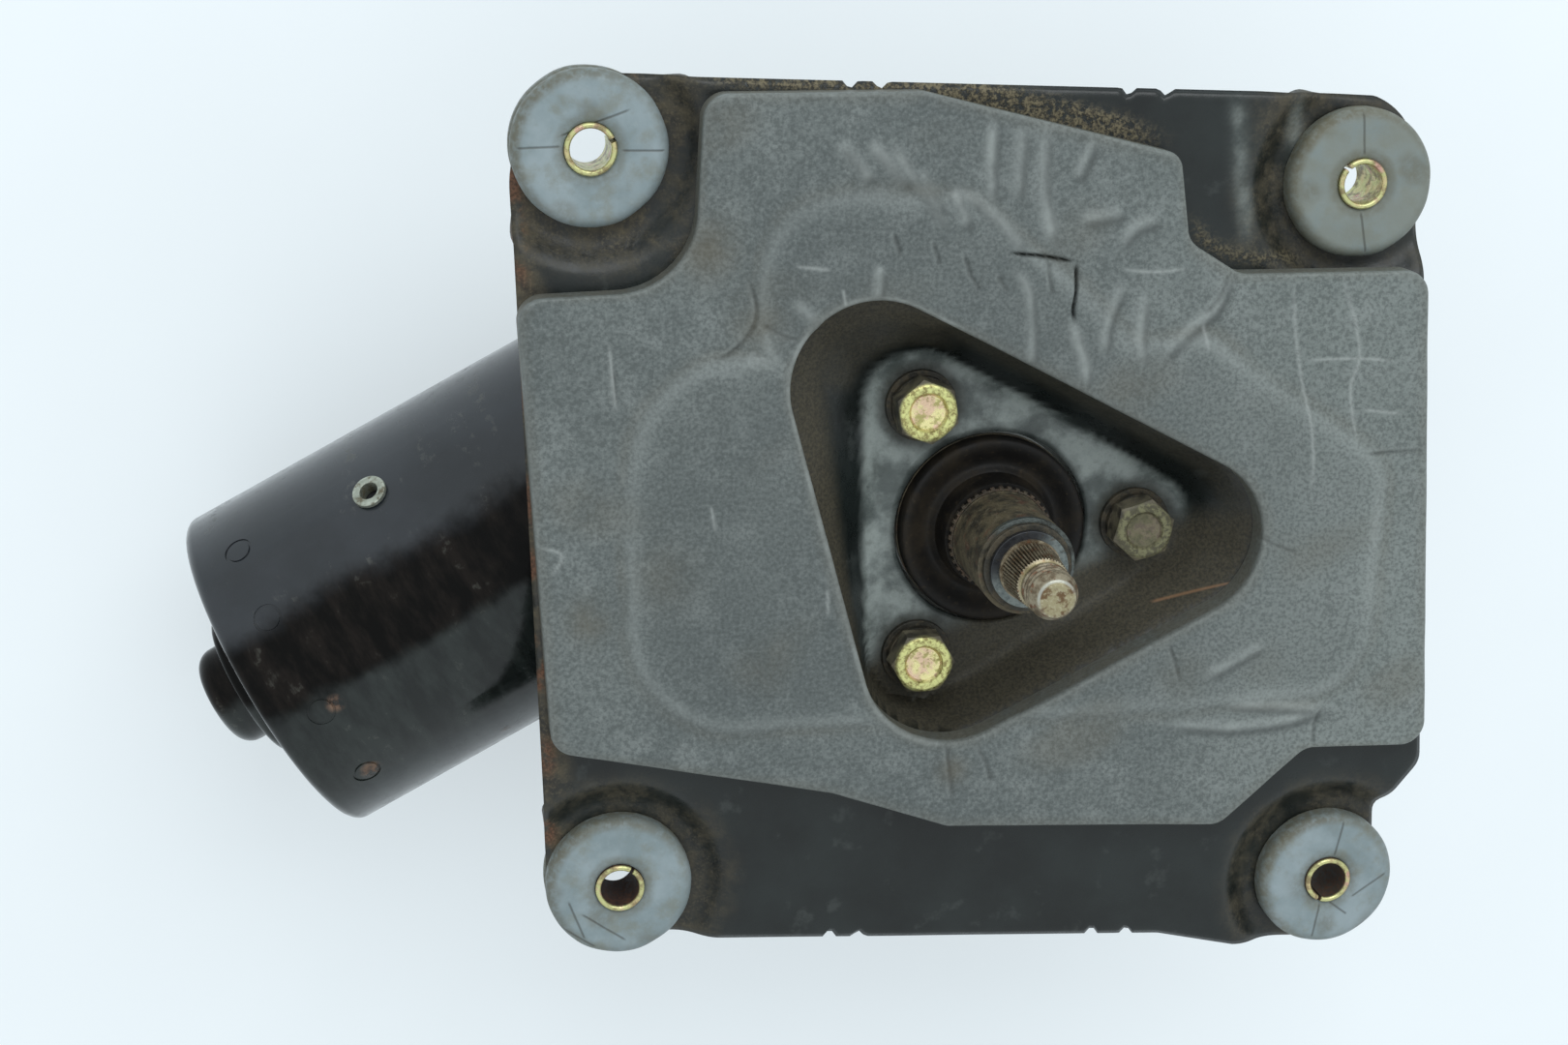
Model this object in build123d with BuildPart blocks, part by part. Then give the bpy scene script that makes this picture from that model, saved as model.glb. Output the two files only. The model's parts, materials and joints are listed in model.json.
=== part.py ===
from build123d import *
from math import cos, pi, radians, sin
import os

# Wiper motor with its mounting plate, in millimetres.
# Frame: the origin is on the output shaft's axis, level with the top faces of the four
# mounting sleeves. +Z runs up the shaft to the crank thread, +X and +Y lie in the plate.

# ---- mounting pattern and pressed plate -------------------------------------------
hole_pitch = 125.0
row_a = (-8.5, 61.5)
row_b = (1.5, -60.5)
sleeve_r = 4.1
sleeve_bore_r = 3.2
sleeve_length = 11.0
sleeve_split = 0.6
grommet_r = 12.4
grommet_waist_r = 8.6
grommet_top = -0.4
grommet_bottom = -10.6
sheet = 2.0
plateau_top = -1.0
seat_top = -4.4
seat_r = 15.2
seat_slope_r = 18.6
floor_top = -11.0
corner_r = 12.0
long_corner_r = 17.0
floor_hole_r = 16.6
tab_r = 1.5
tab_length = 9.0
tab_spots = ((-28.0, 73.9), (19.0, 75.1), (25.0, -70.9))
outline_fillet = 4.0
grommet_edge = 1.2
sleeve_chamfer = 0.25
fit_gap = 0.05
seat_gap = 0.1

# ---- seal pad ----------------------------------------------------------------------
pad_height = 5.5
pad_fillet = 4.0
pad_bay_r = 13.0
window_circles = (((-24.5, 26.5), 14.0), ((28.5, 2.5), 14.0), ((-8.5, -18.0), 15.0))
well_margin = -0.3
floor_corner_r = 8.6

# ---- gearbox bolts -----------------------------------------------------------------
bolt_circle_r = 25.0
bolt_first_angle = 123.5
bolt_r = 3.0
bolt_flats = 10.0
head_height = 4.0
head_recess_r = 3.6
plain_washer_r = 6.0
plain_washer = 1.1
lock_washer_r = 5.2
lock_washer = 1.4
lock_split = 0.7
bolt_clearance = 0.4
bolt_reach = 14.0
head_chamfer = 0.5
head_recess = 0.9

# ---- output shaft and its boss -----------------------------------------------------
shaft_r = 5.5
crank_tip = 29.6
thread_r = 4.0
thread_length = 7.6
spline_bottom = 14.3
spline_big_r = 4.85
spline_small_r = 4.3
spline_teeth = 52
spline_depth = 0.28
nose_r = 3.0
nose_length = 2.0
undercut_r = 3.3
boss_r = 8.0
boss_foot_r = 8.2
boss_foot_top = -3.6
boss_top = 12.0
washer_thickness = 0.9
washer_r = 7.3
ring_thickness = 1.2
ring_r = 6.35
ring_split_angle = 310.0
groove_r = 4.8
shoulder_r = 5.05
bush_wall = 1.5
running_gap = 0.03
spigot_r = 16.0
spigot_top = -12.2
neck_r = 13.0
dish_gap = 0.2
dish_rim_z = -8.8
dish_lip_z = -5.3
collar_r = 9.2
ring_teeth = 38
ring_root_r = 8.5
ring_tooth = 0.7
ring_foot = -4.6
ring_height = 0.8
upper_bush_start = -7.9
upper_bush_end = 10.0
lower_bush_end = -18.1
oil_groove = 0.4
o_ring_r = 6.4
o_ring_wire = 0.58

# ---- worm wheel --------------------------------------------------------------------
wheel_teeth = 53
gear_module = 1.0
worm_pitch_r = 4.5
wheel_z = -40.0
wheel_face = 8.0
tooth_half = 0.70
pressure_slope = 0.364
hub_r = 9.0
hub_flange_r = 12.0
hub_flange = 0.8
web_r = 21.5
web_pocket = 2.2
park_r = 19.0
park_inner_r = 12.5
park_sheet = 0.6
thrust_washer_r = 9.0

# ---- gear chamber ------------------------------------------------------------------
chamber_gap = 0.7
chamber_wall = 2.6
chamber_roof = -34.3
chamber_floor = -50.0
cover_thickness = 2.0
gasket_thickness = 0.4
leg_r = 6.5
lug_angles = (236.0, 331.5, 61.5)
lug_centre_r = 35.0
lug_r = 4.6
cover_screw_r = 2.0
cover_gap = 0.15
cover_ring_r = 9.5
cover_ring_bore_r = 7.0
cover_ring_height = 1.2
screw_flats = 7.0
screw_head = 2.8
finger_spacing = 5.5
finger_width = 3.0
finger_sheet = 0.4
carrier_inset = 6.7
carrier_size = (8.0, 17.0)
carrier_height = 2.4

# ---- motor -------------------------------------------------------------------------
motor_angle = 31.5
yoke_r = 30.0
yoke_wall = 1.8
yoke_start = 38.0
yoke_end = 120.3
yoke_corner_r = 2.0
step_r = 13.4
step_end = 125.3
dome_r = 9.0
dome_end = 131.4
stake_station = 111.2
stake_angles = (121.3, 87.4, 148.4, 58.2)
stake_r = 2.4
stake_depth = 0.25
stake_line = 0.45
lip_thickness = 2.0
rivet_station = 87.2
rivet_angle = 142.2
rivet_r = 1.95
rivet_bore_r = 1.55
rivet_head_r = 2.9
rivet_head = 0.9
ear_reach = 4.7
ear_r = 4.6
ear_angles = (60.0, 180.0, 300.0)
yoke_screw_r = 2.0
flange_start = 31.0
tunnel_bore_r = 6.8
tunnel_r = 10.8
tunnel_start = -31.0
bearing_start = 24.5
bearing_width = 6.0
bearing_r = 12.0
journal_r = 6.0
magnet_thickness = 4.7
air_gap = 0.9
core_start = 55.0
core_end = 97.0
core_slots = 12
slot_depth = 5.6
slot_r = 3.0
slot_mouth = (6.0, 2.0)
shaft_mid_r = 4.0
end_journal_r = 3.0
commutator_r = 11.0
commutator_start = 37.0
commutator_end = 48.0
shaft_end = 128.0
rear_bush_start = 122.7
rear_bush_length = 5.5

# ---- brush gear --------------------------------------------------------------------
card_start = 32.6
card_thickness = 2.2
brush_width = 4.6
brush_axial = 6.0
brush_start = 38.2
spring_room = 5.6
box_inner = 12.6
box_margin = 3.6
card_rim = 2.4
box_wall = 0.6
box_gap = 0.06
brush_angles = {"low": 0.0, "common": 180.0, "high": 300.0}

# ---- connector ---------------------------------------------------------------------
connector_angle = 270.0
connector_width = 26.0
connector_height = 13.0
connector_gap = 2.7
connector_length = 22.5
connector_wall = 1.6
terminal_count = 5
terminal_width = 2.0
terminal_margin = 1.0

# ---- derived values ----------------------------------------------------------------
plateau_bottom = plateau_top - sheet
seat_bottom = seat_top - sheet
floor_bottom = floor_top - sheet
pad_bottom = plateau_top + fit_gap
pad_top = plateau_top + pad_height
wheel_pitch_r = wheel_teeth * gear_module / 2
wheel_tip_r = wheel_pitch_r + gear_module
wheel_root_r = wheel_pitch_r - 1.25 * gear_module
gear_centres = wheel_pitch_r + worm_pitch_r
worm_lead = pi * gear_module
lead_twist = worm_lead / (2 * pi * worm_pitch_r)
bush_r = shaft_r + bush_wall
washer_top = boss_top + washer_thickness
ring_top = washer_top + ring_thickness
chamber_r = wheel_tip_r + chamber_gap
chamber_outer_r = chamber_r + chamber_wall
carrier_x = chamber_r - carrier_inset
connector_start = chamber_outer_r + connector_gap
connector_end = connector_start + connector_length
socket_width = connector_width - 2
mouth_width = socket_width - 2 * connector_wall
terminal_room = mouth_width - terminal_width - 2 * terminal_margin
terminal_pitch = terminal_room / (terminal_count - 1)
cover_top = chamber_floor - gasket_thickness
cover_bottom = cover_top - cover_thickness
carrier_top = cover_top + carrier_height
yoke_bore_r = yoke_r - yoke_wall
magnet_inner_r = yoke_bore_r - magnet_thickness
core_r = magnet_inner_r - air_gap
ear_centre_r = yoke_r + ear_reach
lip_r = ear_centre_r - ear_r / 2
box_outer = yoke_bore_r - box_margin
card_r = box_outer + card_rim
brush_outer = box_outer - spring_room

motor_dir = Vector(-cos(radians(motor_angle)), -sin(radians(motor_angle)), 0)
side_dir = Vector(-sin(radians(motor_angle)), cos(radians(motor_angle)), 0)
motor_foot = side_dir * gear_centres + Vector(0, 0, wheel_z)
motor_axis = Axis(motor_foot, motor_dir)
motor_section = Plane(origin=motor_foot, x_dir=motor_dir, z_dir=side_dir)
shaft_section = Plane.XZ

holes = {
    "tl": (row_a[0] - hole_pitch / 2, row_a[1]),
    "tr": (row_a[0] + hole_pitch / 2, row_a[1]),
    "bl": (row_b[0] - hole_pitch / 2, row_b[1]),
    "br": (row_b[0] + hole_pitch / 2, row_b[1]),
}
bolt_spots = [
    (bolt_circle_r * cos(radians(a)), bolt_circle_r * sin(radians(a)))
    for a in (bolt_first_angle, bolt_first_angle + 120, bolt_first_angle + 240)
]
outline = [
    (-84.4, 72.4),
    (63.2, 76.0),
    (78.6, -38.5),
    (72.4, -47.2),
    (75.6, -73.6),
    (50.0, -73.4),
    (34.0, -70.6),
    (-72.0, -70.2),
]
outline_radii = (
    long_corner_r,
    corner_r,
    outline_fillet,
    outline_fillet,
    corner_r,
    outline_fillet,
    outline_fillet,
    corner_r,
)
pad_bay = (-54.5, 41.0)
pad_outline = [
    (-54.5, 71.0), (-20.5, 73.0), (21.5, 65.3), (24.4, 51.6), (33.5, 46.7), (65.5, 48.4),
    (76.6, -33.5), (55.0, -34.2), (41.0, -48.2), (-7.0, -48.2), (-27.0, -42.2), (-73.5, -35.0),
    (-81.8, 38.6), pad_bay,
]

os.makedirs("parts", exist_ok=True)


def save(builder, name):
    """Label a finished piece and write it as a STEP file."""
    builder.part.label = name
    export_step(builder.part, f"parts/{name}.step")


def across(station):
    """Plane square to the motor axis at a station: x towards the output shaft, y up."""
    return Plane(origin=motor_foot + motor_dir * station, x_dir=side_dir * -1, z_dir=motor_dir)


def spoke(angle, station):
    """Plane whose z runs radially out from the motor axis at an angle, x along the axis."""
    base = across(station)
    out = base.x_dir * cos(radians(angle)) + base.y_dir * sin(radians(angle))
    return Plane(origin=base.origin, x_dir=motor_dir, z_dir=out)


def rounded_triangle(circles, trim=0.0):
    """Sketch of the band stretched round three circles, each radius reduced by trim."""
    with BuildSketch() as sketch:
        for centre, radius in circles:
            with Locations(centre):
                Circle(radius - trim)
        make_hull()
    return sketch.sketch


# ==== mounting plate ================================================================
# A 2 mm sheet: a raised plateau, four dished grommet seats at the corners and one
# three-cornered well with sloping sides that carries the gearbox on its floor.
floor_circles = [(spot, floor_corner_r) for spot in bolt_spots]
well_inner = loft(
    [
        Plane.XY.offset(floor_top) * rounded_triangle(floor_circles),
        Plane.XY.offset(plateau_top) * rounded_triangle(window_circles, well_margin),
    ],
    ruled=True,
)
well_outer = loft(
    [
        Plane.XY.offset(floor_bottom) * rounded_triangle(floor_circles, -sheet * 0.6),
        Plane.XY.offset(plateau_bottom) * rounded_triangle(window_circles, well_margin - sheet),
    ],
    ruled=True,
)
with BuildPart() as underside:
    with BuildSketch(Plane.XY.offset(seat_bottom)):
        Rectangle(200, 200)
    extrude(amount=plateau_bottom - seat_bottom)
    for spot in holes.values():
        with Locations((spot[0], spot[1], (seat_bottom + plateau_bottom) / 2)):
            Cone(
                seat_r + sheet * 0.4,
                seat_slope_r + sheet * 0.4,
                plateau_bottom - seat_bottom,
                mode=Mode.SUBTRACT,
            )
with BuildPart() as mounting_plate:
    with BuildSketch(Plane.XY.offset(seat_bottom)):
        with BuildLine():
            Polyline(*outline, close=True)
        make_face()
    extrude(amount=plateau_top - seat_bottom)
    for spot, radius in zip(outline, outline_radii):
        corner = mounting_plate.edges().filter_by(Axis.Z).sort_by_distance((*spot, seat_bottom))[0]
        fillet(corner, radius=radius)
    add(underside.part, mode=Mode.SUBTRACT)
    for spot in holes.values():
        with Locations((spot[0], spot[1], (seat_top + plateau_top) / 2)):
            Cone(seat_r, seat_slope_r, plateau_top - seat_top, mode=Mode.SUBTRACT)
    add(well_outer)
    add(well_inner, mode=Mode.SUBTRACT)
    with Locations(*[(x, y, seat_top) for x, y in holes.values()]):
        Hole(grommet_waist_r + seat_gap)
    with Locations((0, 0, floor_top)):
        Hole(floor_hole_r)
    with Locations(*[(x, y, floor_top) for x, y in bolt_spots]):
        Hole(bolt_r + bolt_clearance)
    with BuildSketch(Plane.XY.offset(plateau_top)):
        with Locations(*tab_spots):
            SlotOverall(tab_length, 2 * tab_r)
    extrude(amount=-sheet, mode=Mode.SUBTRACT)
save(mounting_plate, "mounting_plate")

# ==== seal pad ======================================================================
# One flat foam pad round the window; it lies on the plateau and keeps off the seats.
with BuildPart() as seal_pad:
    with BuildSketch(Plane.XY.offset(pad_bottom)):
        with BuildLine():
            Polyline(*pad_outline, close=True)
        make_face()
        bay = vertices().sort_by_distance(pad_bay)[0]
        fillet([v for v in vertices() if v != bay], radius=pad_fillet)
        fillet(vertices().sort_by_distance(pad_bay)[0], radius=pad_bay_r)
        add(rounded_triangle(window_circles), mode=Mode.SUBTRACT)
    extrude(amount=pad_top - pad_bottom)
save(seal_pad, "seal_pad")

# ==== grommets and sleeves ==========================================================
for name, spot in holes.items():
    with BuildPart() as grommet:
        with BuildSketch(shaft_section):
            with BuildLine():
                Polyline(
                    (sleeve_r + fit_gap, grommet_bottom),
                    (grommet_r - grommet_edge, grommet_bottom),
                    (grommet_r, grommet_bottom + grommet_edge),
                    (grommet_r, seat_bottom - seat_gap),
                    (grommet_waist_r, seat_bottom - seat_gap),
                    (grommet_waist_r, seat_top + seat_gap),
                    (grommet_r, seat_top + seat_gap),
                    (grommet_r, grommet_top - grommet_edge),
                    (grommet_r - grommet_edge, grommet_top),
                    (sleeve_r + fit_gap, grommet_top),
                    close=True,
                )
            make_face()
        revolve(axis=Axis.Z)
    grommet.part = grommet.part.moved(Location((spot[0], spot[1], 0)))
    save(grommet, f"grommet_{name}")


# Rolled steel sleeves, each with its split turned its own way.
with BuildPart() as mounting_sleeves:
    for (x, y), split_turn in zip(holes.values(), (25.0, 140.0, 60.0, 250.0)):
        with BuildSketch(Plane((x, y, -sleeve_length))):
            Circle(sleeve_r)
            Circle(sleeve_bore_r, mode=Mode.SUBTRACT)
            with Locations(Rotation(0, 0, split_turn) * Pos(sleeve_r, 0)):
                Rectangle(2 * sleeve_r, sleeve_split, mode=Mode.SUBTRACT)
        extrude(amount=sleeve_length)
    chamfer(mounting_sleeves.edges().filter_by(GeomType.CIRCLE), length=sleeve_chamfer)
save(mounting_sleeves, "mounting_sleeves")

# ==== bolts that hold the gearbox ===================================================
lock_base = floor_top + plain_washer
head_base = lock_base + lock_washer
with BuildPart() as mounting_bolts:
    for index, spot in enumerate(bolt_spots):
        with BuildSketch(Plane((spot[0], spot[1], head_base))):
            RegularPolygon(bolt_flats / 2, 6, major_radius=False, rotation=22.0 * index)
        extrude(amount=head_height)
    chamfer(mounting_bolts.faces().sort_by(Axis.Z)[-3:].edges(), length=head_chamfer)
    with BuildSketch(Plane.XY.offset(head_base + head_height)):
        with Locations(*bolt_spots):
            Circle(head_recess_r)
    extrude(amount=-head_recess, mode=Mode.SUBTRACT)
    with BuildSketch(Plane.XY.offset(head_base)):
        with Locations(*bolt_spots):
            Circle(bolt_r)
    extrude(amount=-bolt_reach - lock_washer - plain_washer)
    chamfer(mounting_bolts.faces().sort_by(Axis.Z)[:3].edges(), length=head_chamfer)
save(mounting_bolts, "mounting_bolts")

with BuildPart() as plain_washers:
    with BuildSketch(Plane.XY.offset(floor_top)):
        with Locations(*bolt_spots):
            Circle(plain_washer_r)
            Circle(bolt_r + bolt_clearance / 2, mode=Mode.SUBTRACT)
    extrude(amount=plain_washer)
save(plain_washers, "plain_washers")

with BuildPart() as lock_washers:
    with BuildSketch(Plane.XY.offset(lock_base)):
        with Locations(*bolt_spots):
            Circle(lock_washer_r)
            Circle(bolt_r + bolt_clearance / 2, mode=Mode.SUBTRACT)
        with Locations(*[(x + lock_washer_r - 1.0, y) for x, y in bolt_spots]):
            Rectangle(2.6, lock_split, rotation=30, mode=Mode.SUBTRACT)
    extrude(amount=lock_washer)
save(lock_washers, "lock_washers")

# ==== gear housing ==================================================================
# One casting: gear chamber, worm tunnel, bearing seat, motor flange, three tall legs
# to the plate, and the neck that carries the output shaft's boss.
leg_height = floor_bottom - chamber_roof
roof_outer = chamber_roof + chamber_wall
pin_end = -25.0
with BuildPart() as gear_housing:
    with BuildSketch(Plane.XY.offset(chamber_floor)):
        Circle(chamber_outer_r)
        for angle in lug_angles:
            with Locations(Rotation(0, 0, angle) * Pos(lug_centre_r, 0)):
                Circle(lug_r)
            with Locations(Rotation(0, 0, angle) * Pos(chamber_outer_r, 0)):
                Rectangle(2 * (lug_centre_r - chamber_outer_r), 2 * lug_r)
    extrude(amount=roof_outer - chamber_floor)
    fillet(gear_housing.faces().sort_by(Axis.Z)[-1].edges(), radius=2.0)
    with BuildSketch(motor_section):
        Polygon(
            (tunnel_start, 0),
            (tunnel_start, tunnel_r - 2),
            (tunnel_start + 2, tunnel_r),
            (bearing_start - 6, tunnel_r),
            (bearing_start - 2, bearing_r + 3),
            (flange_start, bearing_r + 3),
            (flange_start, lip_r),
            (yoke_start, lip_r),
            (yoke_start, 0),
            align=None,
        )
    revolve(axis=motor_axis)
    with BuildSketch(across(flange_start)):
        for angle in ear_angles:
            with Locations(Rotation(0, 0, angle) * Pos(ear_centre_r, 0)):
                Circle(ear_r)
    extrude(amount=yoke_start - flange_start)
    with BuildSketch(Plane.XY.offset(chamber_roof)):
        with Locations(*bolt_spots):
            Circle(leg_r)
    extrude(amount=leg_height)
    with BuildSketch(shaft_section):
        Polygon(
            (0, chamber_roof),
            (neck_r + 3, chamber_roof),
            (neck_r, roof_outer + 3),
            (neck_r, floor_bottom - 5),
            (spigot_r, floor_bottom - 2),
            (spigot_r, spigot_top),
            (boss_foot_r, spigot_top),
            (boss_foot_r, boss_foot_top),
            (boss_r, boss_foot_top),
            (boss_r, boss_top),
            (0, boss_top),
            align=None,
        )
    revolve(axis=Axis.Z)
    with BuildSketch(Plane.XY.offset(chamber_floor)):
        Circle(chamber_r)
    extrude(amount=chamber_roof - chamber_floor, mode=Mode.SUBTRACT)
    with BuildSketch(Plane.XY.offset(chamber_floor)):
        Circle(chamber_outer_r + cover_gap)
        for angle in lug_angles:
            with Locations(Rotation(0, 0, angle) * Pos(lug_centre_r, 0)):
                Circle(lug_r + cover_gap)
    extrude(amount=-8, mode=Mode.SUBTRACT)
    with BuildSketch(motor_section):
        Polygon(
            (pin_end - 8, 0),
            (pin_end - 8, thread_r),
            (pin_end, thread_r),
            (pin_end, 3.2),
            (pin_end + 4.6, 3.2),
            (pin_end + 4.6, 5.0),
            (pin_end + 10.8, 5.0),
            (pin_end + 10.8, tunnel_bore_r),
            (16.0, tunnel_bore_r),
            (16.0, 8.2),
            (bearing_start, 8.2),
            (bearing_start, bearing_r),
            (card_start - 0.1, bearing_r),
            (card_start - 0.1, card_r + 0.2),
            (yoke_start + 1, card_r + 0.2),
            (yoke_start + 1, 0),
            align=None,
        )
    revolve(axis=motor_axis, mode=Mode.SUBTRACT)
    with BuildSketch(shaft_section):
        Polygon(
            (0, chamber_roof - 1),
            (bush_r, chamber_roof - 1),
            (bush_r, lower_bush_end + seat_gap),
            (shaft_r + oil_groove, lower_bush_end + seat_gap),
            (shaft_r + oil_groove, upper_bush_start - seat_gap),
            (bush_r, upper_bush_start - seat_gap),
            (bush_r, boss_top + 1),
            (0, boss_top + 1),
            align=None,
        )
    revolve(axis=Axis.Z, mode=Mode.SUBTRACT)
    with BuildSketch(Plane.XY.offset(floor_bottom)):
        with Locations(*bolt_spots):
            Circle(bolt_r)
    extrude(amount=-bolt_reach, mode=Mode.SUBTRACT)
    with BuildSketch(Plane.XY.offset(chamber_floor)):
        for angle in lug_angles:
            with Locations(Rotation(0, 0, angle) * Pos(lug_centre_r, 0)):
                Circle(cover_screw_r)
    extrude(amount=10, mode=Mode.SUBTRACT)
    with BuildSketch(across(yoke_start)):
        for angle in ear_angles:
            with Locations(Rotation(0, 0, angle) * Pos(ear_centre_r, 0)):
                Circle(yoke_screw_r)
    extrude(amount=flange_start - yoke_start, mode=Mode.SUBTRACT)
save(gear_housing, "gear_housing")

# ==== rubber dish, toothed ring and what closes the boss ============================
with BuildPart() as boss_seal:
    with BuildSketch(shaft_section):
        Polygon(
            (boss_foot_r + fit_gap, spigot_top + fit_gap),
            (spigot_r - dish_gap, spigot_top + fit_gap),
            (spigot_r - dish_gap, dish_rim_z - 0.5),
            (spigot_r - 1.0, dish_rim_z),
            (spigot_r - 2.4, dish_rim_z - 0.3),
            (spigot_r - 4.6, dish_rim_z - 1.6),
            (collar_r + 0.6, dish_rim_z - 0.8),
            (collar_r, dish_lip_z),
            (boss_foot_r + fit_gap, dish_lip_z),
            align=None,
        )
    revolve(axis=Axis.Z)
save(boss_seal, "boss_seal")

with BuildPart() as toothed_ring:
    with BuildSketch(Plane.XY.offset(ring_foot)):
        Circle(ring_root_r)
        with PolarLocations(ring_root_r, ring_teeth):
            Rectangle(ring_tooth, ring_tooth)
        Circle(boss_foot_r + running_gap, mode=Mode.SUBTRACT)
    extrude(amount=ring_height)
save(toothed_ring, "toothed_ring")

with BuildPart() as upper_bush:
    with BuildSketch(Plane.XY.offset(upper_bush_start)):
        Circle(bush_r)
        Circle(shaft_r + running_gap, mode=Mode.SUBTRACT)
    extrude(amount=upper_bush_end - upper_bush_start)
save(upper_bush, "upper_bush")

with BuildPart() as lower_bush:
    with BuildSketch(Plane.XY.offset(chamber_roof + 0.2)):
        Circle(bush_r)
        Circle(shaft_r + running_gap, mode=Mode.SUBTRACT)
    extrude(amount=lower_bush_end - chamber_roof - 0.2)
save(lower_bush, "lower_bush")

with BuildPart() as shaft_o_ring:
    with Locations((0, 0, boss_top - o_ring_wire - seat_gap)):
        Torus(o_ring_r, o_ring_wire)
save(shaft_o_ring, "shaft_o_ring")

with BuildPart() as top_washer:
    with BuildSketch(Plane.XY.offset(boss_top)):
        Circle(washer_r)
        Circle(shaft_r + fit_gap, mode=Mode.SUBTRACT)
    extrude(amount=washer_thickness)
    chamfer(top_washer.faces().sort_by(Axis.Z)[-1].edges(), length=0.2)
save(top_washer, "top_washer")

with BuildPart() as retaining_ring:
    with BuildSketch(Plane.XY.offset(washer_top + 0.05)):
        Circle(ring_r)
        Circle(groove_r + seat_gap, mode=Mode.SUBTRACT)
        with Locations(Rotation(0, 0, ring_split_angle) * Pos(ring_r - 0.9, 0)):
            Rectangle(3.0, 1.0, mode=Mode.SUBTRACT)
    extrude(amount=ring_thickness - 0.1)
save(retaining_ring, "retaining_ring")

# ==== output shaft ==================================================================
shaft_bottom = wheel_z - wheel_face / 2 - 3.6
spline_top = crank_tip - thread_length
groove_plane = Plane(
    origin=(spline_big_r - spline_depth, 0, spline_bottom - 1),
    x_dir=(0, 1, 0),
    z_dir=(spline_small_r - spline_big_r, 0, spline_top - spline_bottom),
)
with BuildPart() as spline_groove:
    with BuildSketch(groove_plane):
        Polygon((0, 0), (0.42, -0.6), (-0.42, -0.6), align=None)
    extrude(amount=spline_top - spline_bottom + 3)
with BuildPart() as output_shaft:
    with BuildSketch(shaft_section):
        Polygon(
            (0, shaft_bottom),
            (shaft_r - 0.4, shaft_bottom),
            (shaft_r, shaft_bottom + 0.4),
            (shaft_r, washer_top),
            (groove_r, washer_top),
            (groove_r, ring_top),
            (shoulder_r, ring_top),
            (shoulder_r, spline_bottom + 0.3),
            (0, spline_bottom + 0.3),
            align=None,
        )
    revolve(axis=Axis.Z)
    with BuildSketch(shaft_section):
        Polygon(
            (0, spline_bottom),
            (spline_big_r - 0.5, spline_bottom),
            (spline_big_r, spline_bottom + 0.5),
            (spline_small_r, spline_top),
            (0, spline_top),
            align=None,
        )
    revolve(axis=Axis.Z)
    with PolarLocations(0, spline_teeth):
        add(spline_groove.part, mode=Mode.SUBTRACT)
    with BuildSketch(shaft_section):
        Polygon(
            (0, spline_top - 1),
            (undercut_r, spline_top - 1),
            (undercut_r, spline_top + 0.5),
            (thread_r, spline_top + 1.2),
            (thread_r, crank_tip - nose_length),
            (nose_r, crank_tip),
            (0, crank_tip),
            align=None,
        )
    revolve(axis=Axis.Z)
save(output_shaft, "output_shaft")

# ==== worm wheel ====================================================================
tooth_base = gear_module * 1.25


def tooth_outline(angle):
    """Tooth outlines of the wheel at one level, turned by an angle."""
    with BuildSketch() as sketch:
        Circle(wheel_root_r)
        with PolarLocations(wheel_pitch_r, wheel_teeth, start_angle=angle):
            Polygon(
                (-tooth_base - 0.3, -tooth_half - pressure_slope * tooth_base),
                (gear_module, -tooth_half + pressure_slope * gear_module),
                (gear_module, tooth_half - pressure_slope * gear_module),
                (-tooth_base - 0.3, tooth_half + pressure_slope * tooth_base),
                align=None,
            )
    return sketch.sketch


mesh_angle = 90 + motor_angle
half_turn = 180 / wheel_teeth
twist = lead_twist * (wheel_face / 2) / wheel_pitch_r * 180 / pi
with BuildPart() as worm_wheel:
    for level, turn in ((-wheel_face / 2, -twist), (wheel_face / 2, twist)):
        with BuildSketch(Plane.XY.offset(wheel_z + level)):
            add(tooth_outline(mesh_angle + half_turn + turn))
    loft(ruled=True)
    for level, side in ((wheel_z - wheel_face / 2, 1), (wheel_z + wheel_face / 2, -1)):
        with BuildSketch(Plane.XY.offset(level)):
            Circle(web_r)
            Circle(hub_flange_r + 1.0, mode=Mode.SUBTRACT)
        extrude(amount=web_pocket * side, mode=Mode.SUBTRACT)
    with BuildSketch(Plane.XY.offset(wheel_z - wheel_face / 2)):
        Circle(hub_r)
    extrude(amount=wheel_face, mode=Mode.SUBTRACT)
save(worm_wheel, "worm_wheel")

with BuildPart() as wheel_hub:
    with BuildSketch(Plane.XY.offset(wheel_z - wheel_face / 2)):
        Circle(hub_r)
    extrude(amount=wheel_face)
    with BuildSketch(Plane.XY.offset(wheel_z + wheel_face / 2)):
        Circle(hub_flange_r)
    extrude(amount=hub_flange)
    with BuildSketch(Plane.XY.offset(wheel_z - wheel_face / 2)):
        Circle(shaft_r)
    extrude(amount=wheel_face + hub_flange, mode=Mode.SUBTRACT)
save(wheel_hub, "wheel_hub")

park_top = wheel_z - wheel_face / 2
with BuildPart() as park_disc:
    with BuildSketch(Plane.XY.offset(park_top)):
        Circle(park_r)
        Circle(park_inner_r, mode=Mode.SUBTRACT)
        with Locations(Rotation(0, 0, 20) * Pos(park_r - 1.0, 0)):
            Rectangle(5.0, 9.0, mode=Mode.SUBTRACT)
    extrude(amount=-park_sheet)
save(park_disc, "park_disc")

with BuildPart() as thrust_washer:
    with BuildSketch(Plane.XY.offset(wheel_z + wheel_face / 2 + hub_flange + fit_gap)):
        Circle(thrust_washer_r)
        Circle(shaft_r + seat_gap, mode=Mode.SUBTRACT)
    extrude(amount=hub_flange)
save(thrust_washer, "thrust_washer")

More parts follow.
